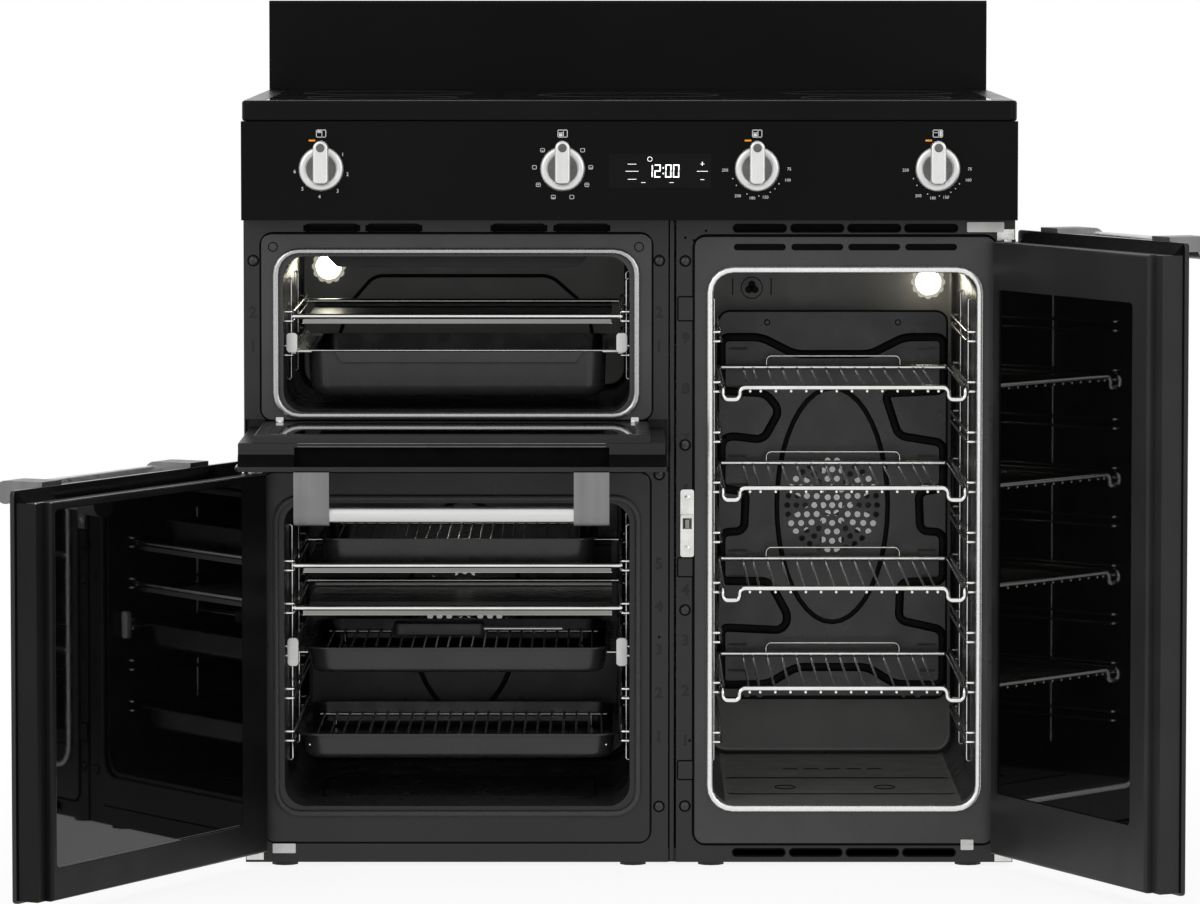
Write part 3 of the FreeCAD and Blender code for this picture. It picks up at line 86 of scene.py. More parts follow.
# finishes: colour, the colour of its patches, their size, range of roughness, size and depth of the
# grain, then metal, specular, stretch or glow where they aren't the usual ones
finishLooks = {
    "carcassEnamel": ((0.008, 0.008, 0.0083), (0.012, 0.012, 0.0124), 9, (0.26, 0.38), (520, 0.05),
                      {"specular": 0.38}),
    "ovenEnamel": ((0.026, 0.026, 0.0265), (0.038, 0.038, 0.0385), 14, (0.24, 0.38), (640, 0.07),
                   {"specular": 0.45}),
    # a lighter copy of the oven enamel for the tall oven's rear panel: painted light
    "panelEnamelPaintedLight": ((0.062, 0.062, 0.0625), (0.078, 0.078, 0.0785), 14, (0.24, 0.38), (640, 0.07),
                    {"specular": 0.45}),
    # lighter copies of the oven enamel that glow faintly, for the faces near the lamps: painted lamplight
    "paintedLampLight": ((0.10, 0.10, 0.099), (0.12, 0.12, 0.118), 14, (0.3, 0.42), (640, 0.06),
                  {"specular": 0.45, "glow": ((1.0, 0.99, 0.95), 0.012)}),
    "paintedLampLightDim": ((0.085, 0.085, 0.083), (0.105, 0.105, 0.102), 14, (0.3, 0.42), (640, 0.06),
                   {"specular": 0.45, "glow": ((1.0, 0.99, 0.95), 0.012)}),
    "panEnamel": ((0.018, 0.018, 0.0185), (0.025, 0.025, 0.0255), 16, (0.22, 0.34), (500, 0.05),
                  {"specular": 0.45}),
    "stovePaint": ((0.006, 0.006, 0.0062), (0.009, 0.009, 0.0093), 7, (0.42, 0.55), (900, 0.12),
                   {"specular": 0.35}),
    "hobEnamel": ((0.003, 0.003, 0.0032), (0.0045, 0.0045, 0.0047), 9, (0.2, 0.3), (520, 0.03),
                  {"specular": 0.08}),
    "faciaGloss": ((0.0028, 0.0028, 0.0028), (0.0038, 0.0038, 0.0038), 5, (0.16, 0.24), (300, 0.015),
                   {"specular": 0.065}),
    "splashGloss": ((0.003, 0.003, 0.003), (0.0046, 0.0046, 0.0046), 5, (0.16, 0.26), (300, 0.015),
                    {"specular": 0.06}),
    "hobGlass": ((0.002, 0.002, 0.0022), (0.003, 0.003, 0.0032), 40, (0.05, 0.08), (200, 0.003),
                 {"specular": 0.3}),
    "doorFace": ((0.004, 0.004, 0.0042), (0.007, 0.007, 0.0072), 6, (0.12, 0.2), (400, 0.02),
                 {"specular": 0.4}),
    "doorEnamel": ((0.017, 0.017, 0.0175), (0.023, 0.023, 0.0235), 10, (0.3, 0.4), (520, 0.05),
                   {"specular": 0.16}),
    "doorShade": ((0.005, 0.005, 0.0052), (0.008, 0.008, 0.0082), 10, (0.3, 0.4), (520, 0.05),
                  {"specular": 0.13}),
    "innerGlass": ((0.0008, 0.0008, 0.0008), (0.0016, 0.0016, 0.0016), 30, (0.015, 0.03), (60, 0.004),
                   {"specular": 0.6}),
    "satinSteel": ((0.60, 0.60, 0.595), (0.70, 0.70, 0.69), 60, (0.26, 0.4), (1400, 0.05),
                   {"metal": 1.0, "stretch": (0.04, 1, 1)}),
    "bracketSteel": ((0.17, 0.17, 0.17), (0.23, 0.23, 0.228), 50, (0.36, 0.48), (1400, 0.05),
                     {"metal": 1.0, "stretch": (1, 1, 0.06)}),
    "knobMetal": ((0.66, 0.66, 0.655), (0.74, 0.74, 0.73), 90, (0.3, 0.42), (1600, 0.04),
                  {"metal": 0.85, "stretch": (1, 1, 0.3)}),
    "knobDisc": ((0.10, 0.10, 0.10), (0.14, 0.14, 0.14), 90, (0.3, 0.4), (1600, 0.05), {"metal": 0.7}),
    "chromeWire": ((0.74, 0.735, 0.72), (0.84, 0.835, 0.82), 45, (0.12, 0.22), (900, 0.02), {"metal": 1.0}),
    "traySteel": ((0.20, 0.198, 0.193), (0.30, 0.297, 0.29), 35, (0.2, 0.32), (1200, 0.04),
                  {"metal": 1.0, "stretch": (0.05, 1, 1)}),
    # a darker copy of the tray steel for the trays in shade: painted shade
    "shadedTraySteel": ((0.03, 0.03, 0.03), (0.045, 0.045, 0.045), 35, (0.3, 0.42), (1200, 0.03), {"metal": 0.6}),
    # a pale plate at the lower tray's front: painted sheen
    "paintedTraySheen": ((0.58, 0.575, 0.56), (0.70, 0.695, 0.68), 35, (0.3, 0.4), (1200, 0.02),
                  {"metal": 0.2, "stretch": (0.05, 1, 1)}),
    "railSteel": ((0.6, 0.6, 0.59), (0.72, 0.72, 0.71), 40, (0.22, 0.34), (1200, 0.04),
                  {"metal": 1.0, "stretch": (1, 0.05, 1)}),
    "capWhite": ((0.72, 0.72, 0.70), (0.80, 0.80, 0.78), 60, (0.35, 0.5), (900, 0.05), {}),
    "galvanised": ((0.42, 0.43, 0.44), (0.58, 0.59, 0.60), 45, (0.34, 0.52), (300, 0.06), {"metal": 0.9}),
    "sealBraid": ((0.76, 0.76, 0.75), (0.88, 0.88, 0.86), 420, (0.24, 0.34), (1500, 0.05), {"metal": 0.8}),
    "sealGrey": ((0.40, 0.40, 0.40), (0.48, 0.48, 0.475), 420, (0.24, 0.34), (1500, 0.05), {"metal": 0.95}),
    "darkSeal": ((0.02, 0.02, 0.02), (0.035, 0.035, 0.035), 300, (0.4, 0.6), (1500, 0.3), {"specular": 0.4}),
    "plated": ((0.66, 0.65, 0.63), (0.8, 0.79, 0.77), 70, (0.2, 0.34), (900, 0.03), {"metal": 1.0}),
    "blackPlastic": ((0.014, 0.014, 0.014), (0.02, 0.02, 0.02), 20, (0.4, 0.55), (1500, 0.15),
                     {"specular": 0.4}),
    "elementTube": ((0.09, 0.085, 0.08), (0.17, 0.16, 0.15), 60, (0.4, 0.55), (900, 0.08), {"metal": 0.8}),
    "lampGlass": ((0.9, 0.88, 0.8), (1.0, 0.98, 0.9), 60, (0.08, 0.16), (220, 0.3),
                  {"glow": ((1.0, 0.95, 0.76), 11.0)}),
    "lampRing": ((0.75, 0.74, 0.68), (0.88, 0.87, 0.8), 60, (0.2, 0.3), (900, 0.03),
                 {"glow": ((1.0, 0.96, 0.82), 0.35)}),
    "markWhite": ((0.60, 0.60, 0.60), (0.68, 0.68, 0.68), 200, (0.5, 0.6), (900, 0.02), {"specular": 0.3}),
    "markOrange": ((0.85, 0.30, 0.02), (0.95, 0.36, 0.03), 200, (0.5, 0.6), (900, 0.02), {"specular": 0.3}),
    "displayGlass": ((0.0012, 0.0012, 0.0014), (0.002, 0.002, 0.0022), 20, (0.05, 0.09), (300, 0.01),
                     {"specular": 0.12}),
    "displayLight": ((0.9, 0.92, 0.95), (1, 1, 1), 60, (0.4, 0.5), (300, 0.01),
                     {"glow": ((0.92, 0.96, 1.0), 1.0)}),
    # near black for pressed grooves, beads and slots: painted shade
    "pressedChannelShade": ((0.0022, 0.0022, 0.0022), (0.0032, 0.0032, 0.0032), 12, (0.4, 0.5), (500, 0.05),
                       {"specular": 0.1}),
    "screwGrey": ((0.03, 0.03, 0.031), (0.05, 0.05, 0.051), 120, (0.34, 0.46), (900, 0.05), {"metal": 0.4}),
    "shadowBlack": ((0.0012, 0.0012, 0.0012), (0.002, 0.002, 0.002), 20, (0.6, 0.75), (500, 0.03),
                    {"specular": 0.05}),
    # pale fan parts that glow faintly: painted light
    "fanGlowPainted": ((0.78, 0.78, 0.77), (0.92, 0.92, 0.9), 60, (0.3, 0.4), (900, 0.03),
                  {"specular": 0.6, "glow": ((1.0, 1.0, 0.98), 0.25)}),
}
finishFit = {"patchDetail": 4, "smearSize": 2.3, "smearDetail": 3, "grainDetail": 2, "ramp": (0.3, 0.7)}


def addNoise(tree, scale, detail, stretch):
    spot = tree.nodes.new("ShaderNodeTexCoord")
    turn = tree.nodes.new("ShaderNodeMapping")
    turn.inputs["Scale"].default_value = stretch
    noise = tree.nodes.new("ShaderNodeTexNoise")
    noise.inputs["Scale"].default_value = scale
    noise.inputs["Detail"].default_value = detail
    tree.links.new(spot.outputs["Object"], turn.inputs["Vector"])
    tree.links.new(turn.outputs["Vector"], noise.inputs["Vector"])
    return noise.outputs["Fac"]


def addRamp(tree, source, *colours):
    ramp = tree.nodes.new("ShaderNodeValToRGB")
    for stop, place, colour in zip(ramp.color_ramp.elements, finishFit["ramp"], colours):
        stop.position = place
        stop.color = (*colour, 1)
    tree.links.new(source, ramp.inputs["Fac"])
    return ramp.outputs["Color"]


def makeFinish(name, colour, second, patch, rough, grain, metal=0.0, specular=0.5, stretch=(1, 1, 1),
               glow=None):
    fit = finishFit
    shade = bpy.data.materials.new(name)
    shade.use_nodes = True
    tree = shade.node_tree
    surface = tree.nodes["Principled BSDF"]
    patches = addNoise(tree, patch, fit["patchDetail"], stretch)
    tree.links.new(addRamp(tree, patches, colour, second), surface.inputs["Base Color"])
    smear = addNoise(tree, patch * fit["smearSize"], fit["smearDetail"], stretch)
    tree.links.new(addRamp(tree, smear, *[(share,) * 3 for share in rough]), surface.inputs["Roughness"])
    size, depth = grain
    bump = tree.nodes.new("ShaderNodeBump")
    bump.inputs["Strength"].default_value = depth
    bump.inputs["Distance"].default_value = mm
    tree.links.new(addNoise(tree, size, fit["grainDetail"], stretch), bump.inputs["Height"])
    tree.links.new(bump.outputs["Normal"], surface.inputs["Normal"])
    surface.inputs["Metallic"].default_value = metal
    surface.inputs["Specular IOR Level"].default_value = specular
    if glow:
        surface.inputs["Emission Color"].default_value = (*glow[0], 1)
        surface.inputs["Emission Strength"].default_value = glow[1]
    return shade


finishes = {name: makeFinish(name, *look, **more) for name, (*look, more) in finishLooks.items()}
print("finishes made,", len(finishes))


# making and shaping
def deselect():
    current = bpy.context.view_layer.objects.active
    if current and current.mode != "OBJECT":
        bpy.ops.object.mode_set(mode="OBJECT")
    bpy.ops.object.select_all(action="DESELECT")


def choose(*pieces):
    deselect()
    for piece in pieces:
        piece.select_set(True)
    bpy.context.view_layer.objects.active = pieces[0]


def settle(piece):
    choose(piece)
    bpy.ops.object.transform_apply(location=True, rotation=True, scale=True)
    return piece


def openEdit(piece, kind, test):
    choose(piece)
    bpy.ops.object.mode_set(mode="EDIT")
    bpy.ops.mesh.select_mode(type=kind)
    bpy.ops.mesh.select_all(action="DESELECT")
    shape = bmesh.from_edit_mesh(piece.data)
    for part in {"VERT": shape.verts, "EDGE": shape.edges, "FACE": shape.faces}[kind]:
        if test(part):
            part.select_set(True)
    bmesh.update_edit_mesh(piece.data)


def edit(piece, kind, test, operator, **values):
    # one operator on the parts that pass the test
    openEdit(piece, kind, test)
    operator(**values)
    bpy.ops.object.mode_set(mode="OBJECT")
    return piece


def direction(edge):
    return (edge.verts[1].co - edge.verts[0].co).normalized()


def along(axis, least=0.99):       # edges that run along an axis
    return lambda edge: abs(direction(edge)[axis]) > least


def at(axis, place, near=0.1):     # edges with both ends at a place on the axis
    return lambda edge: all(abs(end.co[axis] - place * mm) < near * mm for end in edge.verts)


def facing(way):                   # faces that look one way
    return lambda face: face.normal.dot(Vector(way)) > 0.9


def modify(piece, kind, **values):
    choose(piece)
    bpy.ops.object.modifier_add(type=kind)
    change = piece.modifiers[-1]
    for key, value in values.items():
        setattr(change, key, value)
    bpy.ops.object.modifier_apply(modifier=change.name)
    return piece


def soften(piece, angle=38):
    choose(piece)
    bpy.ops.object.shade_smooth_by_angle(angle=math.radians(angle))
    return piece


def paint(piece, finish):
    piece.data.materials.clear()
    piece.data.materials.append(finishes[finish])
    return piece


def paintAll(pieces, finish):
    return [paint(piece, finish) for piece in pieces]


def joined(name, pieces):
    choose(*pieces)
    if len(pieces) > 1:
        bpy.ops.object.join()
    piece = bpy.context.view_layer.objects.active
    piece.name = name
    return piece


def hang(piece, body, slotName, *stands):
    modify(piece, "WEIGHTED_NORMAL", keep_sharp=True)      # flat faces reflect as flat ones
    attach(piece, body)
    if stands:
        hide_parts(*stands)
    return piece


def resize(piece, kind, test, value, centre):
    return edit(piece, kind, test, bpy.ops.transform.resize, value=value, center_override=vec(*centre))


def block(x, y, z):
    deselect()
    bpy.ops.mesh.primitive_cube_add(size=1, location=vec(sum(x) / 2, sum(y) / 2, sum(z) / 2))
    piece = bpy.context.active_object
    piece.scale = vec(x[1] - x[0], y[1] - y[0], z[1] - z[0])
    return settle(piece)


def roundEdges(piece, radius, steps, test):
    return edit(piece, "EDGE", test, bpy.ops.mesh.bevel, offset=radius * mm, segments=steps, affect="EDGES")


def roundRims(piece, width, steps=2, angle=50):
    return modify(piece, "BEVEL", width=width * mm, segments=steps, limit_method="ANGLE",
                  angle_limit=math.radians(angle))


def plate(x, y, z, corner, rim=0.0, axis=1, steps=7):
    # a block whose corners are round about the axis, with its rims softened
    piece = block(x, y, z)
    if corner:
        roundEdges(piece, corner, steps, along(axis))
    if rim:
        roundRims(piece, rim)
    return soften(piece)


def cutOut(piece, tool, operation="DIFFERENCE"):
    modify(piece, "BOOLEAN", object=tool, operation=operation, solver="EXACT")
    bpy.data.objects.remove(tool)
    return piece


def path(points, bend=0.0, closed=False):
    # one corner extruded from point to point, with its turns rounded
    deselect()
    bpy.ops.mesh.primitive_plane_add(size=mm, location=points[0])
    piece = bpy.context.active_object
    bpy.ops.object.mode_set(mode="EDIT")
    bpy.ops.mesh.select_mode(type="VERT")
    bpy.ops.mesh.select_all(action="SELECT")
    bpy.ops.mesh.merge(type="CENTER")
    for start, end in zip(points, points[1:]):
        bpy.ops.mesh.extrude_region_move(TRANSFORM_OT_translate={"value": end - start})
    bpy.ops.object.mode_set(mode="OBJECT")
    if closed:
        edit(piece, "VERT", lambda spot: len(spot.link_edges) == 1, bpy.ops.mesh.edge_face_add)
    if bend:
        edit(piece, "VERT", lambda spot: len(spot.link_edges) == 2, bpy.ops.mesh.bevel,
             offset=bend * mm, segments=5, affect="VERTICES")
    return settle(piece)


def wire(points, radius, bend=0.0, closed=False, sides=2):
    choose(path(points, bend, closed))
    bpy.ops.object.convert(target="CURVE")
    curve = bpy.context.view_layer.objects.active.data
    curve.bevel_depth = radius * mm
    curve.bevel_resolution = sides
    curve.use_fill_caps = True
    bpy.ops.object.convert(target="MESH")
    return soften(settle(bpy.context.view_layer.objects.active), 60)


def repeat(piece, count, step):
    return modify(piece, "ARRAY", count=count, use_relative_offset=False, use_constant_offset=True,
                  constant_offset_displace=vec(*step))


def lathe(profile, centre, axis, steps=48):
    # profile is (radius, distance along the axis) from end to end, in millimetres
    side = upward if abs(axis.z) < 0.5 else rightward
    piece = path([centre + (side * r + axis * h) * mm for r, h in profile])
    choose(piece)
    bpy.ops.object.mode_set(mode="EDIT")
    bpy.ops.mesh.select_all(action="SELECT")
    bpy.ops.mesh.spin(steps=steps, angle=fullTurn, center=centre, axis=axis)
    bpy.ops.mesh.select_all(action="SELECT")
    bpy.ops.mesh.remove_doubles(threshold=0.01 * mm)
    bpy.ops.mesh.normals_make_consistent(inside=False)
    bpy.ops.object.mode_set(mode="OBJECT")
    return soften(piece)


def stud(radius, start, end, centre, axis, steps=12):
    # a short round bar from one distance along the axis to another
    return lathe([(0, start), (radius, start), (radius, end), (0, end)], centre, axis, steps)


def frameWire(x, y, z, radius, corner, sides=2):
    # a closed wire round a rectangle that faces the front
    corners = [vec(x[0], y, z[0]), vec(x[1], y, z[0]), vec(x[1], y, z[1]), vec(x[0], y, z[1])]
    return wire(corners, radius, corner, closed=True, sides=sides)


def hoop(x, z, wide, tall, y, radius, count=40, sides=1):
    # a closed wire along an oval that faces the front
    turns = [fullTurn * i / count for i in range(count)]
    points = [vec(x + wide * math.cos(turn), y, z + tall * math.sin(turn)) for turn in turns]
    return wire(points, radius, closed=True, sides=sides)


def squash(piece, share, y):
    # flattens a piece from front to back, at a depth
    choose(piece)
    bpy.ops.transform.resize(value=(1, share, 1), center_override=vec(0, y, 0))
    return settle(piece)


def turnPiece(piece, angle, axis, centre):
    choose(piece)
    bpy.ops.transform.rotate(value=angle, orient_axis=axis, center_override=centre)
    return settle(piece)


def layFlat(piece, y, z):
    # lays a hoop that was drawn facing the front
    turnPiece(piece, -math.pi / 2, "X", (0, 0, 0))
    bpy.ops.transform.translate(value=vec(0, y, z))
    return settle(piece)


def words(text, x, y, z, size, **shape):
    # text that faces the front, centred on a point
    deselect()
    bpy.ops.object.text_add(location=vec(x, y, z), rotation=(math.pi / 2, 0, 0))
    curve = bpy.context.active_object.data
    curve.body = text
    curve.size = size * mm
    curve.align_x = "CENTER"
    curve.align_y = "CENTER"
    curve.resolution_u = 2
    for key, value in shape.items():
        setattr(curve, key, value)
    bpy.ops.object.convert(target="MESH")
    return settle(bpy.context.view_layer.objects.active)


# camera, floor and light
studio = {"lens": 202.9, "sensor": 36, "place": (-25.85, -7862, 1069.06), "pitch": 4.262, "yaw": 0.0593,
          "floor": 30000, "floorColour": (0.86, 0.86, 0.86), "floorRough": 0.9, "floorSpecular": 0.1,
          "floorPale": 0.86, "floorStrength": 1.03, "worldStrength": 0.92, "paleStrength": 1.0,
          "aim": (0, 200, 450),
          "softboxes": (((-2600, -3600, 2600), (1.6, 2.4), 42), ((2800, -3400, 1900), (1.4, 2.2), 24))}


def setCamera(values):
    deselect()
    bpy.ops.object.camera_add(location=vec(*values["place"]))
    camera = bpy.context.active_object
    camera.rotation_euler = (math.radians(90 - values["pitch"]), 0, math.radians(values["yaw"]))
    camera.data.lens = values["lens"]
    camera.data.sensor_width = values["sensor"]
    camera.data.clip_end = 100
    bpy.context.scene.camera = camera


def showPale(tree, plain, pale, share, output):
    # camera, glossy and transmission rays all meet the pale ground
    rays = tree.nodes.new("ShaderNodeLightPath")
    found = rays.outputs["Is Camera Ray"]
    for kind in ("Is Glossy Ray", "Is Transmission Ray"):
        either = tree.nodes.new("ShaderNodeMath")
        either.operation = "MAXIMUM"
        tree.links.new(found, either.inputs[0])
        tree.links.new(rays.outputs[kind], either.inputs[1])
        found = either.outputs[0]
    amount = tree.nodes.new("ShaderNodeMath")
    amount.operation = "MULTIPLY"
    amount.inputs[1].default_value = share
    tree.links.new(found, amount.inputs[0])
    mix = tree.nodes.new("ShaderNodeMixShader")
    for place, source in enumerate((amount, plain, pale)):
        tree.links.new(source.outputs[0], mix.inputs[place])
    tree.links.new(mix.outputs[0], tree.nodes[output].inputs["Surface"])


def setShine(light, strength):
    light.inputs["Color"].default_value = (1, 1, 1, 1)
    light.inputs["Strength"].default_value = strength
    return light


def setFloor(values):
    deselect()
    bpy.ops.mesh.primitive_plane_add(size=values["floor"] * mm)
    floor = bpy.context.active_object
    floor.name = "studioFloor"
    shade = bpy.data.materials.new("paleFloor")
    shade.use_nodes = True
    tree = shade.node_tree
    surface = tree.nodes["Principled BSDF"]
    surface.inputs["Base Color"].default_value = (*values["floorColour"], 1)
    surface.inputs["Roughness"].default_value = values["floorRough"]
    surface.inputs["Specular IOR Level"].default_value = values["floorSpecular"]
    # the floor shows near white to the camera and in reflections, and keeps the shadow
    pale = setShine(tree.nodes.new("ShaderNodeEmission"), values["floorStrength"])
    showPale(tree, surface, pale, values["floorPale"], "Material Output")
    floor.data.materials.append(shade)


def setWorld(values):
    world = bpy.data.worlds.new("paleStudio")
    bpy.context.scene.world = world
    world.use_nodes = True
    tree = world.node_tree
    plain = setShine(tree.nodes["Background"], values["worldStrength"])
    pale = setShine(tree.nodes.new("ShaderNodeBackground"), values["paleStrength"])
    showPale(tree, plain, pale, 1.0, "World Output")


def addSoftbox(place, aim, size, power):
    deselect()
    bpy.ops.object.light_add(type="AREA", location=vec(*place))
    lamp = bpy.context.active_object
    lamp.data.shape = "RECTANGLE"
    lamp.data.size, lamp.data.size_y = size
    lamp.data.energy = power
    lamp.rotation_euler = (vec(*aim) - vec(*place)).to_track_quat("-Z", "Y").to_euler()


setCamera(studio)
setFloor(studio)
setWorld(studio)
for place, size, power in studio["softboxes"]:
    addSoftbox(place, studio["aim"], size, power)
bpy.context.scene.view_settings.view_transform = "Standard"
print("studio set")

# ovens: flange and seal are how far each reaches past the mouth at its sides, below and above
ovens = {
    "grill": {"x": (-401.5, 0.5), "z": (530.9, 712.2), "rear": 406.0, "flange": (25.4, 8.6, 26.2),
              "seal": (12.4, 8.0, 10.2), "rim": "ovenEnamel", "braid": "sealGrey",
              "paintedLight": {"paintedLampLightDim": forward}},
    "main": {"x": (-401.5, 0.5), "z": (70.8, 425.3), "rear": 458.0, "flange": (23.5, 42.2, 35.5),
             "seal": (13.8, 12.7, 10.2), "rim": "carcassEnamel", "braid": "darkSeal"},
    "tall": {"x": (97.1, 403.7), "z": (74.1, 693.1), "rear": 458.0, "flange": (21.0, 47.0, 42.0),
             "seal": (7.1, 10.0, 8.1), "rim": "ovenEnamel", "braid": "sealBraid",
             "paintedLight": {"paintedLampLightDim": upward, "paintedLampLight": forward}, "vents": ventColumns},
}
ovenFit = {"front": -22.0, "wall": 1.45, "corner": 25.0, "rearCorner": 9.0, "flange": 2.0,
           "flangeCorner": 12.0, "flangeRim": 0.7, "seal": 2.7, "sealWire": 3.6, "sealInset": 4.0,
           "sealCorner": 27.0, "sealSquash": 0.75, "ventAbove": 30.1, "vent": (30, 3.7), "ventBack": (33, 6),
           "ventDepth": (0.7, 0.2)}


def ventSlot(x, z, y, wider):
    half, tall = (size + wider for size in ovenFit["vent"])
    return plate(span(x, half), span(y, 6), span(z, tall), tall - 0.1, steps=5)


def reach(oven, margin, inset=0.0):
    # the rectangle of a flange or seal
    side, below, above = oven[margin]
    (x0, x1), (z0, z1) = oven["x"], oven["z"]
    return (x0 - side + inset, x1 + side - inset), (z0 - below + inset, z1 + above - inset)


def makeOvenLining(name, oven):
    fit = ovenFit
    x, z, front = oven["x"], oven["z"], fit["front"]
    shell = block(x, (front, oven["rear"]), z)
    roundEdges(shell, fit["corner"], 8, along(1))
    edit(shell, "FACE", facing(forward), bpy.ops.mesh.delete, type="FACE")
    roundEdges(shell, fit["rearCorner"], 4, at(1, oven["rear"]))
    modify(shell, "SOLIDIFY", thickness=fit["wall"] * mm, offset=1.0)
    paint(soften(shell), "ovenEnamel")
    # painted lamplight: the faces that the lamp lights most get a lighter enamel that glows faintly
    for finish, way in oven.get("paintedLight", {}).items():
        shell.data.materials.append(finishes[finish])
        shell.active_material_index = len(shell.data.materials) - 1
        edit(shell, "FACE", facing(way), bpy.ops.object.material_slot_assign)
    rimX, rimZ = reach(oven, "flange")
    flange = plate(rimX, (front - fit["flange"], front), rimZ, fit["flangeCorner"])
    cutOut(flange, plate(x, span(front, 9), z, fit["corner"], steps=8))
    backs = []
    backX, backZ = fit["ventBack"]
    for column in oven.get("vents", ()):
        height = z[1] + fit["ventAbove"]
        cutOut(flange, ventSlot(column, height, front, 0))
        depth = [front - back for back in fit["ventDepth"]]
        backs.append(block(span(column, backX), depth, span(height, backZ)))
    roundRims(flange, fit["flangeRim"])
    return joined(name, [shell, paint(soften(flange), oven["rim"])] + paintAll(backs, "shadowBlack"))


def makeSeal(oven):
    fit = ovenFit
    x, z = reach(oven, "seal", fit["sealInset"])
    y = fit["front"] - fit["flange"] - fit["seal"]
    seal = frameWire(x, y, z, fit["sealWire"], fit["sealCorner"], 4)
    return paint(squash(seal, fit["sealSquash"], y), oven["braid"])


for key, oven in ovens.items():
    hang(makeOvenLining(key + "Lining", oven), "cooker", "grey_enamel", key + "_cavity")
hang(joined("doorSeals", [makeSeal(oven) for oven in ovens.values()]), "cooker", "seal", "door_seals")
print("oven linings and seals made")

# rear panels, fans and elements
rearPanel = {"y": 406.0, "sheet": 1.5, "corner": 14, "rim": 0.5, "bead": 3.0, "edgeWire": 1.3,
             "grooveWire": 5.4, "grooveBend": 9, "squash": 0.34, "holeRadius": 3.7, "holePitch": 11.0,
             "holeRings": 5, "slots": (580.0, 533.0, 448.0, 413.0, 332.0, 300.0, 216.0, 184.0),
             "slotOut": 116, "slotHalf": (11.5, 1.7),
             "tall": {"x": (110.5, 390.5), "z": (149.5, 626.0), "fan": (250.4, 387.6), "ring": (68.0, 144.0),
                      "finish": "panelEnamelPaintedLight"},
             "main": {"x": (-388.0, -13.0), "z": (112.0, 408.0), "fan": (-200.5, 262.0),
                      "ring": (68.0, 132.0), "finish": "ovenEnamel"}}
# the pressed channel round the tall panel, drawn as a dark wire of painted shade, from the top down: (from
# the middle, height)
channelTop = ((46, 573), (88, 594), (136, 594), (136, 528))
channelWaist = ((136, 408), (106, 404), (108, 356), (136, 354), (136, 294))
channelFoot = ((136, 166), (78, 167), (44, 188))
channelLeft = (*channelTop, (81.5, 525), (64.8, 504), (84.6, 468), (128, 473), (136, 466), *channelWaist,
               (77, 294), (53, 250), (60.4, 233.4), (136, 237), *channelFoot)
channelRight = (*channelTop, (64, 525), (81, 473), (136, 464), *channelWaist, (84, 293), (82, 246),
                (136, 234), *channelFoot)


def makeHoles(x, z, y):
    values = rearPanel
    tools = []
    for ring in range(values["holeRings"] + 1):
        count = max(1, 6 * ring)
        away = ring * values["holePitch"]
        for i in range(count):
            turn = fullTurn * i / count
            deselect()
            bpy.ops.mesh.primitive_cylinder_add(
                vertices=14, radius=values["holeRadius"] * mm, depth=12 * mm, rotation=(math.pi / 2, 0, 0),
                location=vec(x + away * math.cos(turn), y, z + away * math.sin(turn)))
            tools.append(bpy.context.active_object)
    return settle(joined("holeTools", tools))


def makeRearPanel(key):
    values, own = rearPanel, rearPanel[key]
    y = values["y"]
    x, z = own["fan"]
    sheet = plate(own["x"], (y, y + values["sheet"]), own["z"], values["corner"], values["rim"])
    wide, tall = values["slotHalf"]
    for height in values["slots"] if key == "tall" else ():
        for side in (-1, 1):
            middle = x + side * values["slotOut"]
            cutOut(sheet, plate(span(middle, wide), span(y, 5), span(height, tall), tall - 0.1, steps=3))
    cutOut(sheet, makeHoles(x, z, y))
    parts = [hoop(x, z, *own["ring"], y, values["bead"], sides=2)]
    if key == "tall":
        parts.append(frameWire(own["x"], y, own["z"], values["edgeWire"], values["corner"]))
        right = [vec(x + out, y, height) for out, height in channelRight]
        left = [vec(x - out, y, height) for out, height in reversed(channelLeft)]
        parts.append(wire(right + left, values["grooveWire"], values["grooveBend"], closed=True, sides=3))
    # the bead, edge wire and channel are dark: painted shade of the pressed relief
    grooves = squash(joined("grooves", parts), values["squash"], y)
    return [paint(sheet, own["finish"]), paint(grooves, "pressedChannelShade")]


rearPanels = joined("rearPanels", makeRearPanel("tall") + makeRearPanel("main"))
hang(rearPanels, "cooker", "grey_enamel", "rear_baffles")

# pressed lines, slots and the small vent of the oven walls and floors, drawn as dark marks of painted shade
liningMarks = {"rearY": 405.6, "groove": 2.3, "grooveBend": 10, "grooveSquash": 0.3,
               "grillGroove": ((-340.9, 634.8), (-310.7, 669.2), (-94.3, 669.2), (-49.1, 629.9),
                               (-38.0, 562.0), (-364.0, 562.0)),
               "vent": (151.4, 654.5), "ventRadius": 13.0, "lobe": 4.6, "lobeOut": 4.2, "ears": 23.5,
               "screws": ((170.4, 612.0), (330.4, 612.0)), "screwRadius": 3.2,
               "dashes": ((133.1, 143.4), (149.7, 158.8), (164.4, 336.9), (340.5, 353.4), (359.0, 382.4)),
               "dashZ": (150.4, 153.0), "floorZ": 74.3, "floorSlots": (197.0, 222.0, 248.0, 274.0, 299.0),
               "floorSlotY": 308.0, "floorDimples": (186.0, 304.0), "dimple": (12, 17), "dimpleY": 126,
               "recess": ((112.0, 389.0, 60.0, 215.0, 74.2), (-362.0, -40.0, 60.0, 250.0, 70.9))}


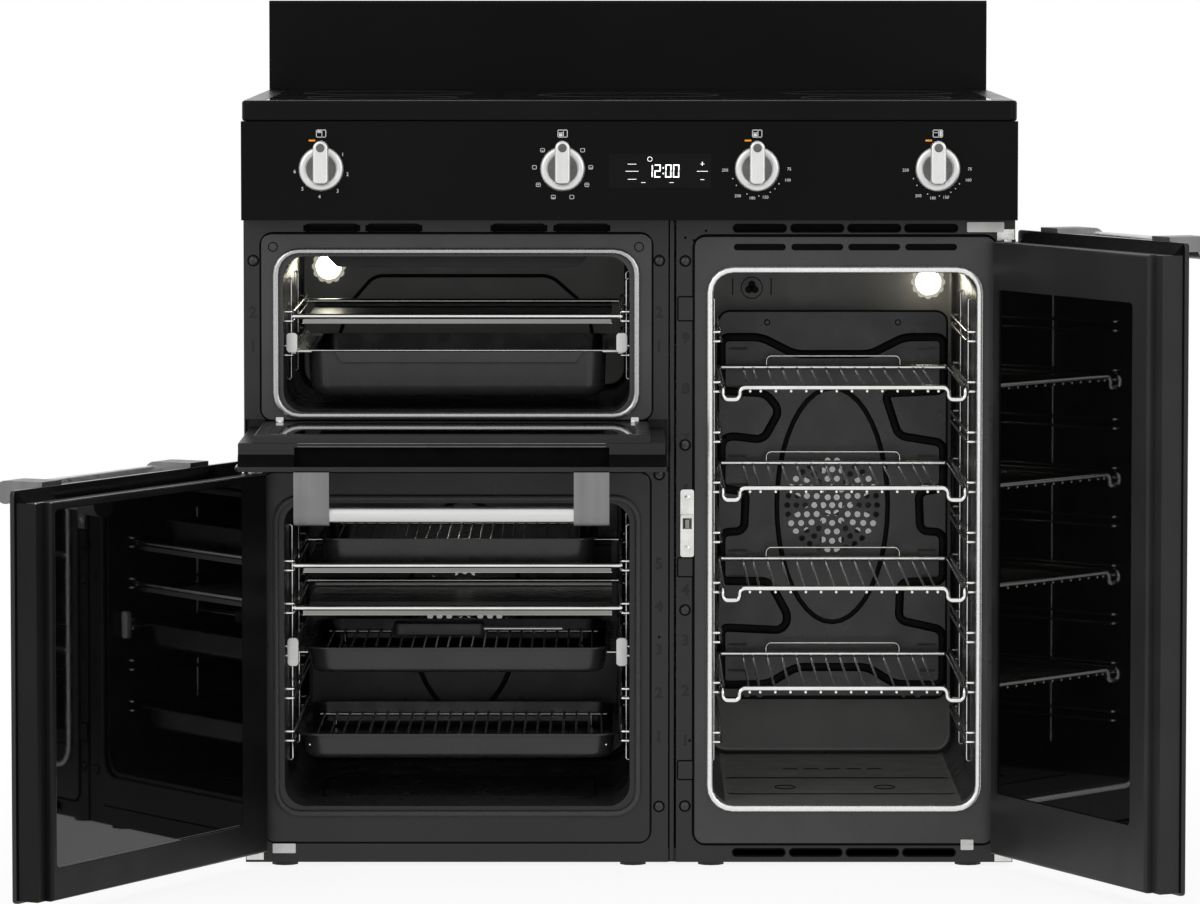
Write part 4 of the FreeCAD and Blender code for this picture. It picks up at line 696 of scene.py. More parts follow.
def makeLiningMarks():
    values = liningMarks
    y, floor = values["rearY"], values["floorZ"]
    groove = wire([vec(x, y, z) for x, z in values["grillGroove"]], values["groove"], values["grooveBend"],
                  closed=True, sides=3)
    marks = [squash(groove, values["grooveSquash"], y)]
    x, z = values["vent"]
    marks.append(hoop(x, z, values["ventRadius"], values["ventRadius"], y, 0.6, 32))
    for turn in (90, 210, 330):
        out = values["lobeOut"]
        centre = vec(x + out * math.cos(math.radians(turn)), y, z + out * math.sin(math.radians(turn)))
        marks.append(stud(values["lobe"], 0.2, -0.6, centre, inward, 16))
    for side in (-1, 1):
        middle = x + side * values["ears"]
        marks.append(plate(span(middle, 0.7), span(y, 0.3), (z - 9, z + 12), 0.4, steps=1))
    for x, z in values["screws"]:
        marks.append(hoop(x, z, values["screwRadius"], values["screwRadius"], y, 0.7, 20))
    for dash in values["dashes"]:
        marks.append(plate(dash, (y - 0.4, y + 0.3), values["dashZ"], 1.2, steps=2))
    for x in values["floorSlots"]:
        depth = span(values["floorSlotY"], 4)
        marks.append(plate(span(x, 9), depth, (floor - 0.1, floor + 0.2), 3, axis=2, steps=3))
    for x in values["floorDimples"]:
        marks.append(layFlat(hoop(x, 0, *values["dimple"], 0, 0.8, 28), values["dimpleY"], floor))
    for x0, x1, y0, y1, z in values["recess"]:
        corners = [vec(x0, y0, z), vec(x1, y0, z), vec(x1, y1, z), vec(x0, y1, z)]
        marks.append(wire(corners, 1.2, 16, closed=True, sides=1))
    return paint(joined("liningMarks", marks), "pressedChannelShade")


hang(makeLiningMarks(), "cooker", "grey_enamel")

fanShape = {"front": 426.0, "back": 449.4, "radius": 61.0, "hub": 13.0, "shaft": 3.9, "shaftEnd": 38,
            "lobes": 6, "lobe": (14, 60), "blade": (14, 59)}


def makeFan(key):
    values = fanShape
    front, back, shaft, hubR = values["front"], values["back"], values["shaft"], values["hub"]
    x, z = rearPanel[key]["fan"]
    centre = vec(x, front, z)
    deep, end = back - front, back - front + values["shaftEnd"]
    disc = lathe([(0, deep - 1.5), (values["radius"], deep - 1.5), (values["radius"], deep), (shaft, deep),
                  (shaft, end), (0, end)], centre, inward)
    hub = lathe([(0, 0), (hubR - 3, 0), (hubR, 3), (hubR, deep), (0, deep)], centre, inward)
    # the hub, lobes and blades are pale and glow faintly: painted light
    bright = [hub]
    for i in range(values["lobes"]):
        low, high = values["lobe"]
        lobe = plate(span(x, 12), (front + 1, front + 3), (z + low, z + high), 9, 0.6)
        low, high = values["blade"]
        blade = plate(span(x, 1), (front + 2, back - 1), (z + low, z + high), 0.8)
        bright += [turnPiece(piece, fullTurn * i / values["lobes"], "Y", centre) for piece in (lobe, blade)]
    return joined(key + "Fan", [paint(disc, "blackPlastic")] + paintAll(bright, "fanGlowPainted"))


for key in ("tall", "main"):
    hang(makeFan(key), key + "_fan_body", "steel_sheet", key + "_fan")

elementShape = {"ring": 76.0, "y": 432.0, "wire": 3.2, "grillZ": 704, "grillY": (48, 335, 405), "bend": 14,
                "columns": (-130, -78, -26, 26, 78, 130), "deflector": (-340.5, -60.5), "flare": 12,
                "deflectorZ": (698.2, 710.2), "deflectorY": (18.0, 30.0), "sheet": 1.5}


def makeElements():
    values = elementShape
    parts = []
    for key in ("main", "tall"):
        x, z = rearPanel[key]["fan"]
        parts.append(hoop(x, z, values["ring"], values["ring"], values["y"], values["wire"], sides=3))
    # the grill element runs to and fro under the roof
    near, far, entry = values["grillY"]
    stops = [entry] + [near, near, far, far] * 3
    stops[-2:] = [entry]
    columns = [column for column in values["columns"] for end in (0, 1)]
    points = [vec(leftMiddle + column, y, values["grillZ"]) for column, y in zip(columns, stops)]
    parts.append(wire(points, values["wire"], values["bend"], sides=3))
    tube = paint(joined("tubes", parts), "elementTube")
    low, high = values["deflector"]
    flare, bottom = values["flare"], values["deflectorZ"][0]
    shade = block((low - flare, high + flare), values["deflectorY"], values["deflectorZ"])
    resize(shade, "VERT", lambda spot: spot.co.z < (bottom + 1) * mm,
           ((high - low) / (high - low + 2 * flare), 1, 1), (leftMiddle, 0, bottom))
    edit(shade, "FACE", facing(upward), bpy.ops.mesh.delete, type="FACE")
    modify(shade, "SOLIDIFY", thickness=values["sheet"] * mm, offset=-1.0)
    roundRims(shade, 0.5)
    return joined("heatingElements", [tube, paint(soften(shade), "stovePaint")])


hang(makeElements(), "cooker", "element_metal", "heating_elements")

lampShape = {"radius": 19.0, "height": 9.0, "lobes": 12, "lobe": 4.6, "lobeIn": 2.6,
             "spots": (((-366.0, 405.7, 680.7), forward), ((367.0, 405.7, 661.6), forward),
                       ((-200.5, 346.0, 425.0), downward))}


def makeLamp(spot, way):
    values = lampShape
    r, h, lobe = values["radius"], values["height"], values["lobe"]
    centre = vec(*spot)
    ring = [(r - 5, h - 4), (r - 3, h - 2.5), (r - 1, h - 4), (r, h - 6), (r, 0), (r - 5, 0)]
    parts = [lathe(ring, centre, way)]
    lens = lathe([(0, h), (5, h - 0.3), (10, h - 1.4), (r - 5.2, h - 3.4), (r - 5.2, 0.2)], centre, way)
    for i in range(values["lobes"]):
        turn = fullTurn * i / values["lobes"]
        out = rightward * math.cos(turn) + way.cross(rightward) * math.sin(turn)
        profile = [(0, h - 5.2), (3.2, h - 5.6), (lobe, h - 7.2), (lobe, 0.4), (0, 0.4)]
        parts.append(lathe(profile, centre + out * (r - values["lobeIn"]) * mm, way, 12))
    return joined("lamp", paintAll(parts, "lampRing") + [paint(lens, "lampGlass")])


lamps = [makeLamp(spot, way) for spot, way in lampShape["spots"]]
hang(joined("ovenLamps", lamps), "cooker", "lamp_glass", "oven_lamps")
print("rear panels, fans, elements and lamps made")

# wire ladders, shelves, trays and pans
ladderShape = {"wire": 1.7, "post": 1.4, "reach": 10.5, "upright": 3.4, "front": 2.0, "back": 374.0,
               "set": 100.0, "overrun": 34.0, "pair": 11.0, "bend": 2.6, "turn": 4.0,
               "levels": {"grill": (596.0, 39.7, 2), "main": (144.5, 50.05, 5), "tall": (142.8, 58.7, 9)}}


def makeLadder(wallX, side, first, pitch, count):
    # first level, pitch and number of the guides
    values = ladderShape
    front, back, pair = values["front"], values["back"], values["pair"]
    wall, bent, guide = [wallX - side * out for out in (0.4, values["upright"], values["reach"])]
    low, high = first - values["overrun"], first + pitch * (count - 1) + pair + values["overrun"]
    parts = []
    for y in (values["set"], back - values["set"]):
        route = [vec(wall, y, low), vec(bent, y, low), vec(bent, y, high), vec(wall, y, high)]
        parts.append(wire(route, values["post"], values["bend"]))
    # each guide turns to the wall at both ends
    route = [vec(x, y, first) for x, y in ((wall, front), (guide, front), (guide, back), (wall, back))]
    guides = wire(route, values["wire"], values["turn"])
    repeat(guides, 2, (0, 0, pair))
    repeat(guides, count, (0, 0, pitch))
    return joined("ladder", parts + [guides])


ladders = []
for key, rows in ladderShape["levels"].items():
    ladders += [makeLadder(wallX, side, *rows) for wallX, side in zip(ovens[key]["x"], (-1, 1))]
hang(paint(joined("sideLadders", ladders), "chromeWire"), "cooker", "chrome_wire", "side_ladders")

shelfShape = {"x": 250.4, "half": 141.3, "front": -6.0, "back": 382.0, "frame": 3.0, "wire": 1.5,
              "dipWide": 20.0, "dipDeep": 14.0, "count": 12, "pitch": 17.7, "edge": 12.2, "guard": 81.5,
              "guardTall": 13.5, "guardWire": 1.2, "bend": 6.0, "heights": (559.0, 441.6, 324.2, 206.8)}


def makeShelf(z):
    values = shelfShape
    x, half, front, back, thin = [values[key] for key in ("x", "half", "front", "back", "wire")]
    leg, low = half - values["dipWide"], z - values["dipDeep"]
    # the frame dips at both front corners
    dip = [(half, back, z), (half, front, z), (half, front, low), (leg, front, low), (leg, front, z)]
    route = [vec(x - out, y, height) for out, y, height in dip]
    route += [vec(x + out, y, height) for out, y, height in reversed(dip)]
    parts = [wire(route, values["frame"], values["bend"], closed=True, sides=4)]
    under = z - values["frame"] - thin + 0.2
    inner = values["pitch"] * (values["count"] - 1) / 2
    for out in (-inner, -inner - values["edge"], inner + values["edge"]):
        ends = [vec(x + out, front - 1.5, under), vec(x + out, back + 1.5, under)]
        parts.append(wire(ends, thin))
    repeat(parts[1], values["count"], (values["pitch"], 0, 0))
    guard, top = values["guard"], z + values["guardTall"]
    corners = ((-guard, z), (-guard, top), (guard, top), (guard, z))
    parts.append(wire([vec(x + out, back, height) for out, height in corners], values["guardWire"], 6))
    return paint(joined("shelf", parts), "chromeWire")


for i, height in enumerate(shelfShape["heights"], 1):
    shelf = makeShelf(height)
    shelf.name = "wireShelf%d" % i
    hang(shelf, "tall_shelf_%d_body" % i, "chrome_wire", "tall_shelf_%d" % i)
print("ladders and shelves made")

# painted light: only the lower tray gets a pale sheen plate at its front, and the grill and upper trays are a
# darker, shaded copy of the steel
trayShape = {"bar": 192.6, "half": 180.5, "front": 8.0, "back": 353.0, "wire": 3.0, "sheet": 1.2,
             "drop": 8.5, "paintedLight": 150.0, "lowHighlightWire": 0.7,
             "trays": {"grill": (641.0, "shadedTraySteel"), "upper": (350.0, "shadedTraySteel"),
                       "lower": (300.0, "traySteel")}}


def makeTray(z, sheetFinish):
    values = trayShape
    x, half, thick = leftMiddle, values["half"], values["wire"]
    front, back, floor = values["front"] - thick, values["back"] + thick, z - values["drop"]
    dish = block(span(x, half), (front, back), (floor, z - thick))
    edit(dish, "FACE", lambda face: face.normal.z > 0.9 or abs(face.normal.x) > 0.9, bpy.ops.mesh.delete,
         type="FACE")
    roundEdges(dish, 2.5, 4, lambda edge: along(0)(edge) and at(2, floor)(edge))
    modify(dish, "SOLIDIFY", thickness=values["sheet"] * mm, offset=-1.0)
    sheets = [paint(soften(dish), sheetFinish)]
    # painted sheen at the lower tray's front
    if sheetFinish == "traySteel":
        y = (front + 3, front + values["paintedLight"])
        paintedLight = plate(span(x, half - 2), y, (floor + 1.2, floor + 1.7), 4, axis=2)
        sheets.append(paint(paintedLight, "paintedTraySheen"))
    lip = plate(span(x, half - 1), (front - 0.1, front + 0.2), (floor + 0.3, z - thick), 1, steps=1)
    bars = [wire([vec(end, y, z) for end in span(x, values["bar"])], thick, sides=4)
            for y in (values["front"], values["back"])]
    # a thin bright wire along the bottom of the front: painted highlight
    bars.append(wire([vec(end, front + 0.7, floor + 0.5) for end in span(x, half)], values["lowHighlightWire"]))
    return joined("tray", sheets + [paint(lip, "traySteel")] + paintAll(bars, "chromeWire"))


for key, (height, sheetFinish) in trayShape["trays"].items():
    tray = makeTray(height, sheetFinish)
    tray.name = key + "SteelTray"
    hang(tray, key + "_tray_body", "steel_sheet", key + "_tray")

# width, length, depth and front of each pan, the height of its rim, how far its grid is over the rim,
# and its rim, draft and foot
panShape = {"wall": 1.15, "corner": 26.0, "fold": 1.6, "lip": (-344.0, -53.0), "lipZ": (587.0, 600.6),
            "lipY": (1.2, 3.8), "lipTaper": 0.94,
            "pans": {"grill": (350.0, 350.0, 54.0, 4.0, 602.0, None, 1.6, 3.0, 13.0),
                     "middle": (360.0, 350.0, 29.0, 4.0, 253.2, -14.0, 6.0, 4.0, 7.0),
                     "lower": (383.0, 350.0, 29.0, 4.0, 151.8, -14.0, 8.0, 4.0, 7.0),
                     "small": (329.0, 300.0, 38.0, 23.0, 379.6, -6.0, 5.0, 4.0, 7.0)}}
gridShape = {"wire": 1.5, "bar": 1.725, "inset": 17.0, "rows": 23, "side": 6, "over": 3, "rise": 2.6,
             "stand": 36.0, "clear": 2.2}


def makePan(width, length, deep, front, rimZ, rim, draft, foot):
    x, centre = leftMiddle, (leftMiddle, front + length / 2, 0)
    half, inner, bottom = width / 2 - rim, length - 2 * rim, rimZ - deep
    bowl = block(span(x, half), (front + rim, front + length - rim), (bottom, rimZ))
    resize(bowl, "FACE", facing(downward), (1 - draft / half, 1 - 2 * draft / inner, 1), centre)
    roundEdges(bowl, panShape["corner"], 8, along(2, 0.9))
    roundEdges(bowl, foot, 5, at(2, bottom, 0.2))
    openEdit(bowl, "FACE", facing(upward))
    bpy.ops.mesh.inset(thickness=0.1 * mm, use_outset=False)
    bpy.ops.mesh.delete(type="FACE")
    # the rim is drawn outwards, then down a little
    openEdit(bowl, "EDGE", lambda edge: edge.is_boundary)
    bpy.ops.mesh.extrude_region_move(TRANSFORM_OT_translate={"value": (0, 0, 0)})
    bpy.ops.transform.resize(value=((width - 1) / (2 * half), (length - 1) / inner, 1),
                             center_override=vec(*centre))
    bpy.ops.mesh.extrude_region_move(TRANSFORM_OT_translate={"value": vec(0, 0, -panShape["fold"])})
    openEdit(bowl, "FACE", lambda face: True)
    bpy.ops.mesh.remove_doubles(threshold=0.2 * mm)
    bpy.ops.mesh.normals_make_consistent(inside=False)
    modify(bowl, "SOLIDIFY", thickness=panShape["wall"] * mm, offset=-1.0)
    return paint(soften(bowl), "panEnamel")


def makeGrid(width, length, deep, front, rimZ, lift):
    values = gridShape
    x, half, z, foot = leftMiddle, width / 2 - values["inset"], rimZ + lift, rimZ - deep + values["clear"]
    near, far = front + values["inset"], front + length - values["inset"]
    parts = []
    for y in (near, far):
        parts.append(wire([vec(end, y, z) for end in span(x, half)], values["bar"]))
        parts += [wire([vec(leg, y, foot), vec(leg, y, z)], values["wire"])
                  for leg in span(x, width / 2 - values["stand"])]
    start, height, gaps = x - half + values["side"], z + values["rise"], values["rows"] - 1
    ends = [vec(start, near - values["over"], height), vec(start, far + values["over"], height)]
    row = wire(ends, values["wire"])
    parts.append(repeat(row, values["rows"], (2 * (half - values["side"]) / gaps, 0, 0)))
    return paint(joined("grid", parts), "chromeWire")


def makeLip():
    values = panShape
    lip = block(values["lip"], values["lipY"], values["lipZ"])
    resize(lip, "FACE", facing(downward), (values["lipTaper"], 1, 1), (leftMiddle, 0, 0))
    return paint(soften(roundRims(lip, 0.9)), "panEnamel")


for key, (*sizes, lift, rim, draft, foot) in panShape["pans"].items():
    parts = [makePan(*sizes, rim, draft, foot), makeLip() if lift is None else makeGrid(*sizes, lift)]
    # the small pan stands on the upper tray
    body = "upper_tray_body" if key == "small" else key + "_pan_body"
    hang(joined(key + "RoastPan", parts), body, "pan_enamel", key + "_pan")

gripShape = {"x": (-276.5, -170.5), "y": (47.0, 81.0), "tall": 15.0, "corner": 8, "dentY": (60, 68),
             "dentIn": 12, "dentDeep": 3, "arm": 92.0, "arms": (57.2, 70.8), "wire": 1.5}


def makeGrip():
    values = gripShape
    (x0, x1), tall, dent = values["x"], values["tall"], values["dentIn"]
    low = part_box("pan_grip")[0].z / mm
    handle = plate(values["x"], values["y"], (low, low + tall), values["corner"], 2.5, axis=2)
    dentZ = (low + tall - values["dentDeep"], low + tall + 2)
    cutOut(handle, plate((x0 + dent, x1 - dent), values["dentY"], dentZ, 3.5, axis=2))
    paint(soften(handle), "blackPlastic")
    mid = low + tall / 2
    arms = [wire([vec(x, y, mid) for x in (x1 - 2, x1 + values["arm"])], values["wire"])
            for y in values["arms"]]
    return joined("panGrip", [handle] + paintAll(arms, "chromeWire"))


hang(makeGrip(), "middle_pan_body", "plastic_black", "pan_grip")

railShape = {"fit": 9.8, "web": 4.0, "ledge": 5.5, "z": (3.8, 7.2), "thick": 1.2, "y": (-2.0, 358.0),
             "rim": 0.3, "cap": 6.5, "capX": 9.0, "capY": (-8.0, -1.5), "cross": (-398, -3), "crossY": 0.6,
             "crossZ": 601.6, "crossWire": 0.9}


def makeRails(level, ledge, capZ):
    values = railShape
    parts = []
    z0, z1 = [level + height for height in values["z"]]
    for wallX, side in zip(ovens["main"]["x"], (-1, 1)):
        a = wallX - side * values["fit"]
        b, c = a - side * values["web"], wallX - side * (ledge + values["ledge"])
        shelf = block(sorted((a, c)), values["y"], (z0, z0 + values["thick"]))
        web = block(sorted((a, b)), values["y"], (z0, z1))
        parts += paintAll([roundRims(piece, values["rim"]) for piece in (shelf, web)], "railSteel")
        cap = plate(span(wallX - side * values["capX"], values["cap"]), values["capY"], capZ, 4.2, 1.4)
        parts.append(paint(cap, "capWhite"))
    return parts


crossEnds = [vec(x, railShape["crossY"], railShape["crossZ"]) for x in railShape["cross"]]
crossWire = paint(wire(crossEnds, railShape["crossWire"]), "railSteel")
grillRails = joined("grillRails", makeRails(596.0, 26.0, (599.5, 622.5)) + [crossWire])
hang(grillRails, "grill_pan_body", "rail_steel", "grill_rails")
mainRails = joined("mainRails", makeRails(244.6, 21.0, (233.0, 266.0)))
hang(mainRails, "middle_pan_body", "rail_steel", "main_rails")
print("trays, pans, grids and runners made")

# doors
doorShape = {"outer": -71.0, "skin": -65.0, "face": -39.0, "inner": -30.0, "inset": 3.0, "topStep": 13.5,
             "slope": 13.0, "corner": 5.0, "glass": 4.0, "rebate": 9.0, "glassFit": 0.4, "barRadius": 9.0,
             "nose": 13.0, "reach": 48.5, "below": 8.5, "bracket": 40.0, "hingeRoom": 22, "armOut": 204.5,
             "armRoom": 3, "armTop": 525.7, "armBack": -43}
doors = {
    "grill": {"x": (-445.7, 43.3), "z": (482.0, 744.0), "window": ((-400.7, -1.7), (537.0, 704.0)),
              "steps": (20.0, 20.0), "recess": 0.0, "pocket": (21.0, 10.0), "coat": "doorEnamel",
              "span": 356.0, "pivot": (0, -34, 516.7), "axis": "X", "angle": 90.0},
    "main": {"x": (-445.7, 43.3), "z": (18.0, 475.5), "window": ((-376.0, 7.0), (66.0, 445.5)),
             "steps": (3.0, 20.0), "recess": 0.0, "pocket": (15.0, 10.0), "coat": "doorShade",
             "span": 356.0, "pivot": (-439, -50.5, 0), "axis": "Z", "angle": -117.7},
    "tall": {"x": (56.0, 445.7), "z": (16.0, 744.0), "window": ((120.0, 421.7), (100.0, 667.0)),
             "steps": (20.0, 3.0), "recess": 3.0, "pocket": (0.0, 0.0), "coat": "doorEnamel",
             "span": 300.0, "pivot": (439, -50.5, 0), "axis": "Z", "angle": 114.8},
}


def grown(window, edge):
    return [(low - edge, high + edge) for low, high in window]


def barAcross(x0, x1, y, z, radius):
    return wire([vec(x0, y, z), vec(x1, y, z)], radius)


def makeDoorFrame(key, door):
    values = doorShape
    (x0, x1), (z0, z1) = door["x"], door["z"]
    inset, step = values["inset"], z1 - values["topStep"]
    skin, face, inner = values["skin"], values["face"], values["inner"]
    box = block((x0 + inset, x1 - inset), (skin, face), (z0 + inset, step))
    wedge = block((x0 + inset, x1 - inset), (skin, skin + values["slope"]), (step, z1 - 1))
    edit(wedge, "EDGE", lambda edge: at(1, skin + values["slope"])(edge) and at(2, z1 - 1)(edge),
         bpy.ops.transform.translate, value=vec(0, 0, 1.2 - values["topStep"]))
    liner = block((x0 + door["steps"][0], x1 - door["steps"][1]), (face, inner), (z0 + inset, step))
    roundEdges(liner, 3.5, 4, at(1, inner))
    roundRims(box, 1.5)
    windowX, windowZ = door["window"]
    for piece in (box, liner):
        cutOut(piece, plate(windowX, (skin - 1, inner + 2), windowZ, 4))
    pane = inner - door["recess"] - values["glass"]
    rebateX, rebateZ = grown(door["window"], values["rebate"])
    cutOut(liner, plate(rebateX, (pane, inner + 2), rebateZ, 6))
    left, right = span((x0 + x1) / 2, door["span"] / 2)
    wide, deep = door["pocket"]
    for piece in (box, wedge) if deep else ():
        cutOut(piece, block((left, right), (skin - 0.5, skin + wide), (step - deep, z1 + 1)))
    if door["axis"] == "Z":
        room = span(door["pivot"][0], values["hingeRoom"])
        cutOut(wedge, block(room, (skin - 0.5, inner + 1), (step - 0.1, z1 + 1)))
    else:
        for armX in span((x0 + x1) / 2, values["armOut"]):
            room = span(armX, values["armRoom"])
            for piece in (box, liner):
                cutOut(piece, block(room, (values["armBack"], inner + 1), (z0, values["armTop"])))
    frame = soften(joined("frame", [*paintAll([box], door["coat"]), paint(wedge, "shadowBlack"),
                                    paint(liner, door["coat"])]), 30)
    if deep:
        paintPocketShade(frame, (left, right), skin + wide, step - deep)
    parts = [frame]
    if key == "grill":
        # two fine bars of painted highlight along the edges over the recess
        lines = [barAcross(left + 4, right - 4, skin + wide + back, step + 0.2, 0.5) for back in (0.8, 4.4)]
        parts += paintAll(lines, "bracketSteel")
    if key == "main":
        # painted highlight: a bright bar along the folded edge over the window, and a fine one under it
        fold = [barAcross(x0 + 6, x1 - 21, inner - 0.9, step - 0.2, 0.9),
                barAcross(x1 - 21, x1 - 4, face - 0.9, step - 0.2, 0.9)]
        hem = barAcross(*windowX, inner - 0.1, windowZ[0] - 6, 0.4)
        parts += paintAll(fold, "chromeWire") + [paint(hem, "bracketSteel")]
    return joined(key + "DoorBox", parts)


def paintPocketShade(frame, ends, back, bottom):
    # the recess behind the handle is painted black: painted shade
    low, high = [end * mm for end in ends]
    near = 0.1 * mm

    def inPocket(face):
        middle, normal = face.calc_center_median(), face.normal
        return (middle.y < back * mm + near and middle.z > bottom * mm - near
                and abs(normal.z) + abs(normal.y) > 0.9
                and all(low - near < spot.co.x < high + near for spot in face.verts))

    frame.active_material_index = frame.data.materials.find("shadowBlack")
    edit(frame, "FACE", inPocket, bpy.ops.object.material_slot_assign)


def makeHandle(key, door):
    values = doorShape
    outer, nose, bracket, half = values["outer"], values["nose"], values["bracket"], door["span"] / 2
    middle = sum(door["x"]) / 2
    barY, barZ = outer - values["reach"], door["z"][1] - values["below"]
    arms = []
    for side in (-1, 1):
        x = sorted((middle + side * half, middle + side * (half - bracket)))
        arm = block(x, (barY, outer), (barZ - 4, barZ + nose))
        deselect()
        bpy.ops.mesh.primitive_cylinder_add(
            vertices=40, radius=nose * mm, depth=bracket * mm, rotation=(0, math.pi / 2, 0),
            location=vec(sum(x) / 2, barY, barZ))
        cutOut(arm, settle(bpy.context.active_object), "UNION")
        arms.append(soften(roundRims(arm, 1.0, angle=60)))
    start = vec(middle - half + bracket - 1, barY, barZ)
    bar = stud(values["barRadius"], 0, 2 * (half - bracket + 1), start, rightward, 48)
    return joined(key + "Handle", paintAll(arms, "bracketSteel") + [paint(bar, "satinSteel")])


def makeDoor(key, door):
    values = doorShape
    skin = plate(door["x"], (values["outer"], values["skin"]), door["z"], values["corner"], 1.2)
    skin.name = key + "DoorSkin"
    pane = values["inner"] - door["recess"] - values["glass"]
    paneX, paneZ = grown(door["window"], values["rebate"] - values["glassFit"])
    glass = plate(paneX, (pane, pane + values["glass"]), paneZ, 6, 0.5)
    glass.name = key + "DoorGlass"
    pieces = {"panel": (paint(skin, "doorFace"), "door_face"),
              "frame": (makeDoorFrame(key, door), "door_box"),
              "glass": (paint(glass, "innerGlass"), "door_glass"),
              "handle": (makeHandle(key, door), "handle_metal")}
    for part, (piece, slotName) in pieces.items():
        turnPiece(piece, -math.radians(door["angle"]), door["axis"], vec(*door["pivot"]))
        hang(piece, key + "_door", slotName, key + "_door_" + part)


for key, door in doors.items():
    makeDoor(key, door)
print("doors made")

# hob, facia, knobs and display
hobShape = {"x": 446.5, "y": (-71.0, 550.0), "z": (870.3, 894.0), "corner": 9.0, "rim": 3.2, "side": 26.0,
            "front": 22.0, "back": 36.0, "ledge": 8, "glass": 6.0, "fit": 0.3, "line": 0.35,
            "zones": ((-290, 88, 88), (-290, 348, 103), (0, 228, 108), (290, 88, 88), (290, 348, 103))}


def makeHob():
    values = hobShape
    y, (low, top) = values["y"], values["z"]
    trim = plate(span(0, values["x"]), y, values["z"], values["corner"], axis=2)
    roundRims(trim, values["rim"], 4)
    seat = (span(0, values["x"] - values["side"]), (y[0] + values["front"], y[1] - values["back"]))
    cutOut(trim, plate(*seat, (top - values["glass"], top + 2), 3, axis=2))
    cutOut(trim, block(*grown(seat, -values["ledge"]), (low - 1, top + 1)))
    trim.name = "hobTrim"
    hang(paint(soften(trim), "hobEnamel"), "cooker", "enamel", "hob_frame")
    glass = plate(*grown(seat, -values["fit"]), (top - values["glass"], top), 2.7, 0.6, axis=2)
    marks = [layFlat(hoop(x, 0, radius, radius, 0, values["line"], 64), depth, top - 0.3)
             for x, depth, radius in values["zones"]]
    parts = [paint(glass, "hobGlass")] + paintAll(marks, "screwGrey")
    hang(joined("hobGlassTop", parts), "cooker", "hob_glass", "hob_glass")


makeHob()

knobShape = {"columns": (-355.0, -77.0, 147.0, 355.0), "z": 815.4, "back": -71.3, "ring": 26.0, "dish": 17.7,
             "base": 6.5, "grip": 17.6, "gripZ": (-17.0, 32.6), "gripDepth": 17.5, "gripFoot": 4.5,
             "gripRim": 2.2, "eye": 24.6, "eyeRadius": 5.0, "pin": (2.9, 19.5)}


def makeKnob(x):
    values = knobShape
    z, back, r, dish, base = [values[key] for key in ("z", "back", "ring", "dish", "base")]
    centre = vec(x, back, z)
    ring = lathe([(0, 0), (r - 1.5, 0), (r - 0.3, 0.6), (r, 2.0), (r - 0.5, 4.4), (r - 2, 6.0),
                  (r - 4, base), (dish + 1.6, base - 0.3), (dish + 0.3, base - 1.2), (dish, base - 2.6),
                  (0, base - 2.6)], centre, forward, 64)
    disc = lathe([(dish - 0.4, base - 2.7), (dish - 0.4, base - 2.3), (0, base - 2.2)], centre, forward, 64)
    front = back - base - values["gripDepth"]
    low, high = [z + height for height in values["gripZ"]]
    half = values["grip"] / 2
    grip = plate(span(x, half), (front, back - 3), (low, high), 0)
    for radius, steps, top in ((half - 0.1, 9, True), (values["gripFoot"], 4, False)):
        roundEdges(grip, radius, steps, lambda edge: along(1)(edge) and (edge.verts[0].co.z > z * mm) == top)
    roundEdges(grip, values["gripRim"], 4, at(1, front, 0.05))
    eyeR = values["eyeRadius"]
    insert = lathe([(0, -0.35), (eyeR - 0.8, -0.35), (eyeR, -0.1), (eyeR, 0.8), (0, 0.8)],
                   vec(x, front, z + values["eye"]), inward, 32)
    radius, length = values["pin"]
    pin = stud(radius, 0, length, vec(x, back + 0.5, z), inward, 20)
    return joined("knob", [paint(ring, "knobMetal"), paint(disc, "knobDisc"),
                           paint(soften(grip), "knobMetal"), paint(insert, "knobDisc"), paint(pin, "plated")])


for i, column in enumerate(knobShape["columns"], 1):
    knob = makeKnob(column)
    knob.name = "controlKnob%d" % i
    hang(knob, "knob_%d_body" % i, "knob_metal", "knob_%d" % i)

# turns of the marks round a knob, in degrees from the top
markShape = {"y": -71.12, "drop": 1.6, "reach": 30.6, "far": 37.0, "size": 6.0, "small": 4.92, "thick": 0.1,
             "dash": (7.5, 2.0), "dashAt": (-10.5, 32.6), "icon": (11.6, 9.0), "iconUp": 40.6,
             "grill": (("1", 54), ("2", 99), ("3", 142), ("4", 184), ("5", 225), ("6", 267)),
             "functions": (45, 84, 121, 161, 199, 239, 276, 315),
             "dots": (122, 136, 149, 176, 203, 234, 251),
             "heat": (("75", 88, True), ("100", 108, True), ("150", 163, False), ("180", 190, False),
                      ("200", 217, True), ("250", 270, True))}


def around(column, turn, out):
    turn = math.radians(turn)
    return column + out * math.sin(turn), knobShape["z"] - markShape["drop"] + out * math.cos(turn)


def stripe(left, right, bottom, top):
    return plate((left, right), (markShape["y"], markShape["y"] + 0.1), (bottom, top), 0.2, steps=1)


def dot(x, z, wide, tall):
    return stripe(*span(x, wide / 2), *span(z, tall / 2))


def square(x, z, wide, tall, bar):
    # a small printed frame of four bars
    (left, right), (low, high) = span(x, wide / 2), span(z, tall / 2)
    return [stripe(left, right, high - bar, high), stripe(left, right, low, low + bar),
            stripe(left, left + bar, low, high), stripe(right - bar, right, low, high)]


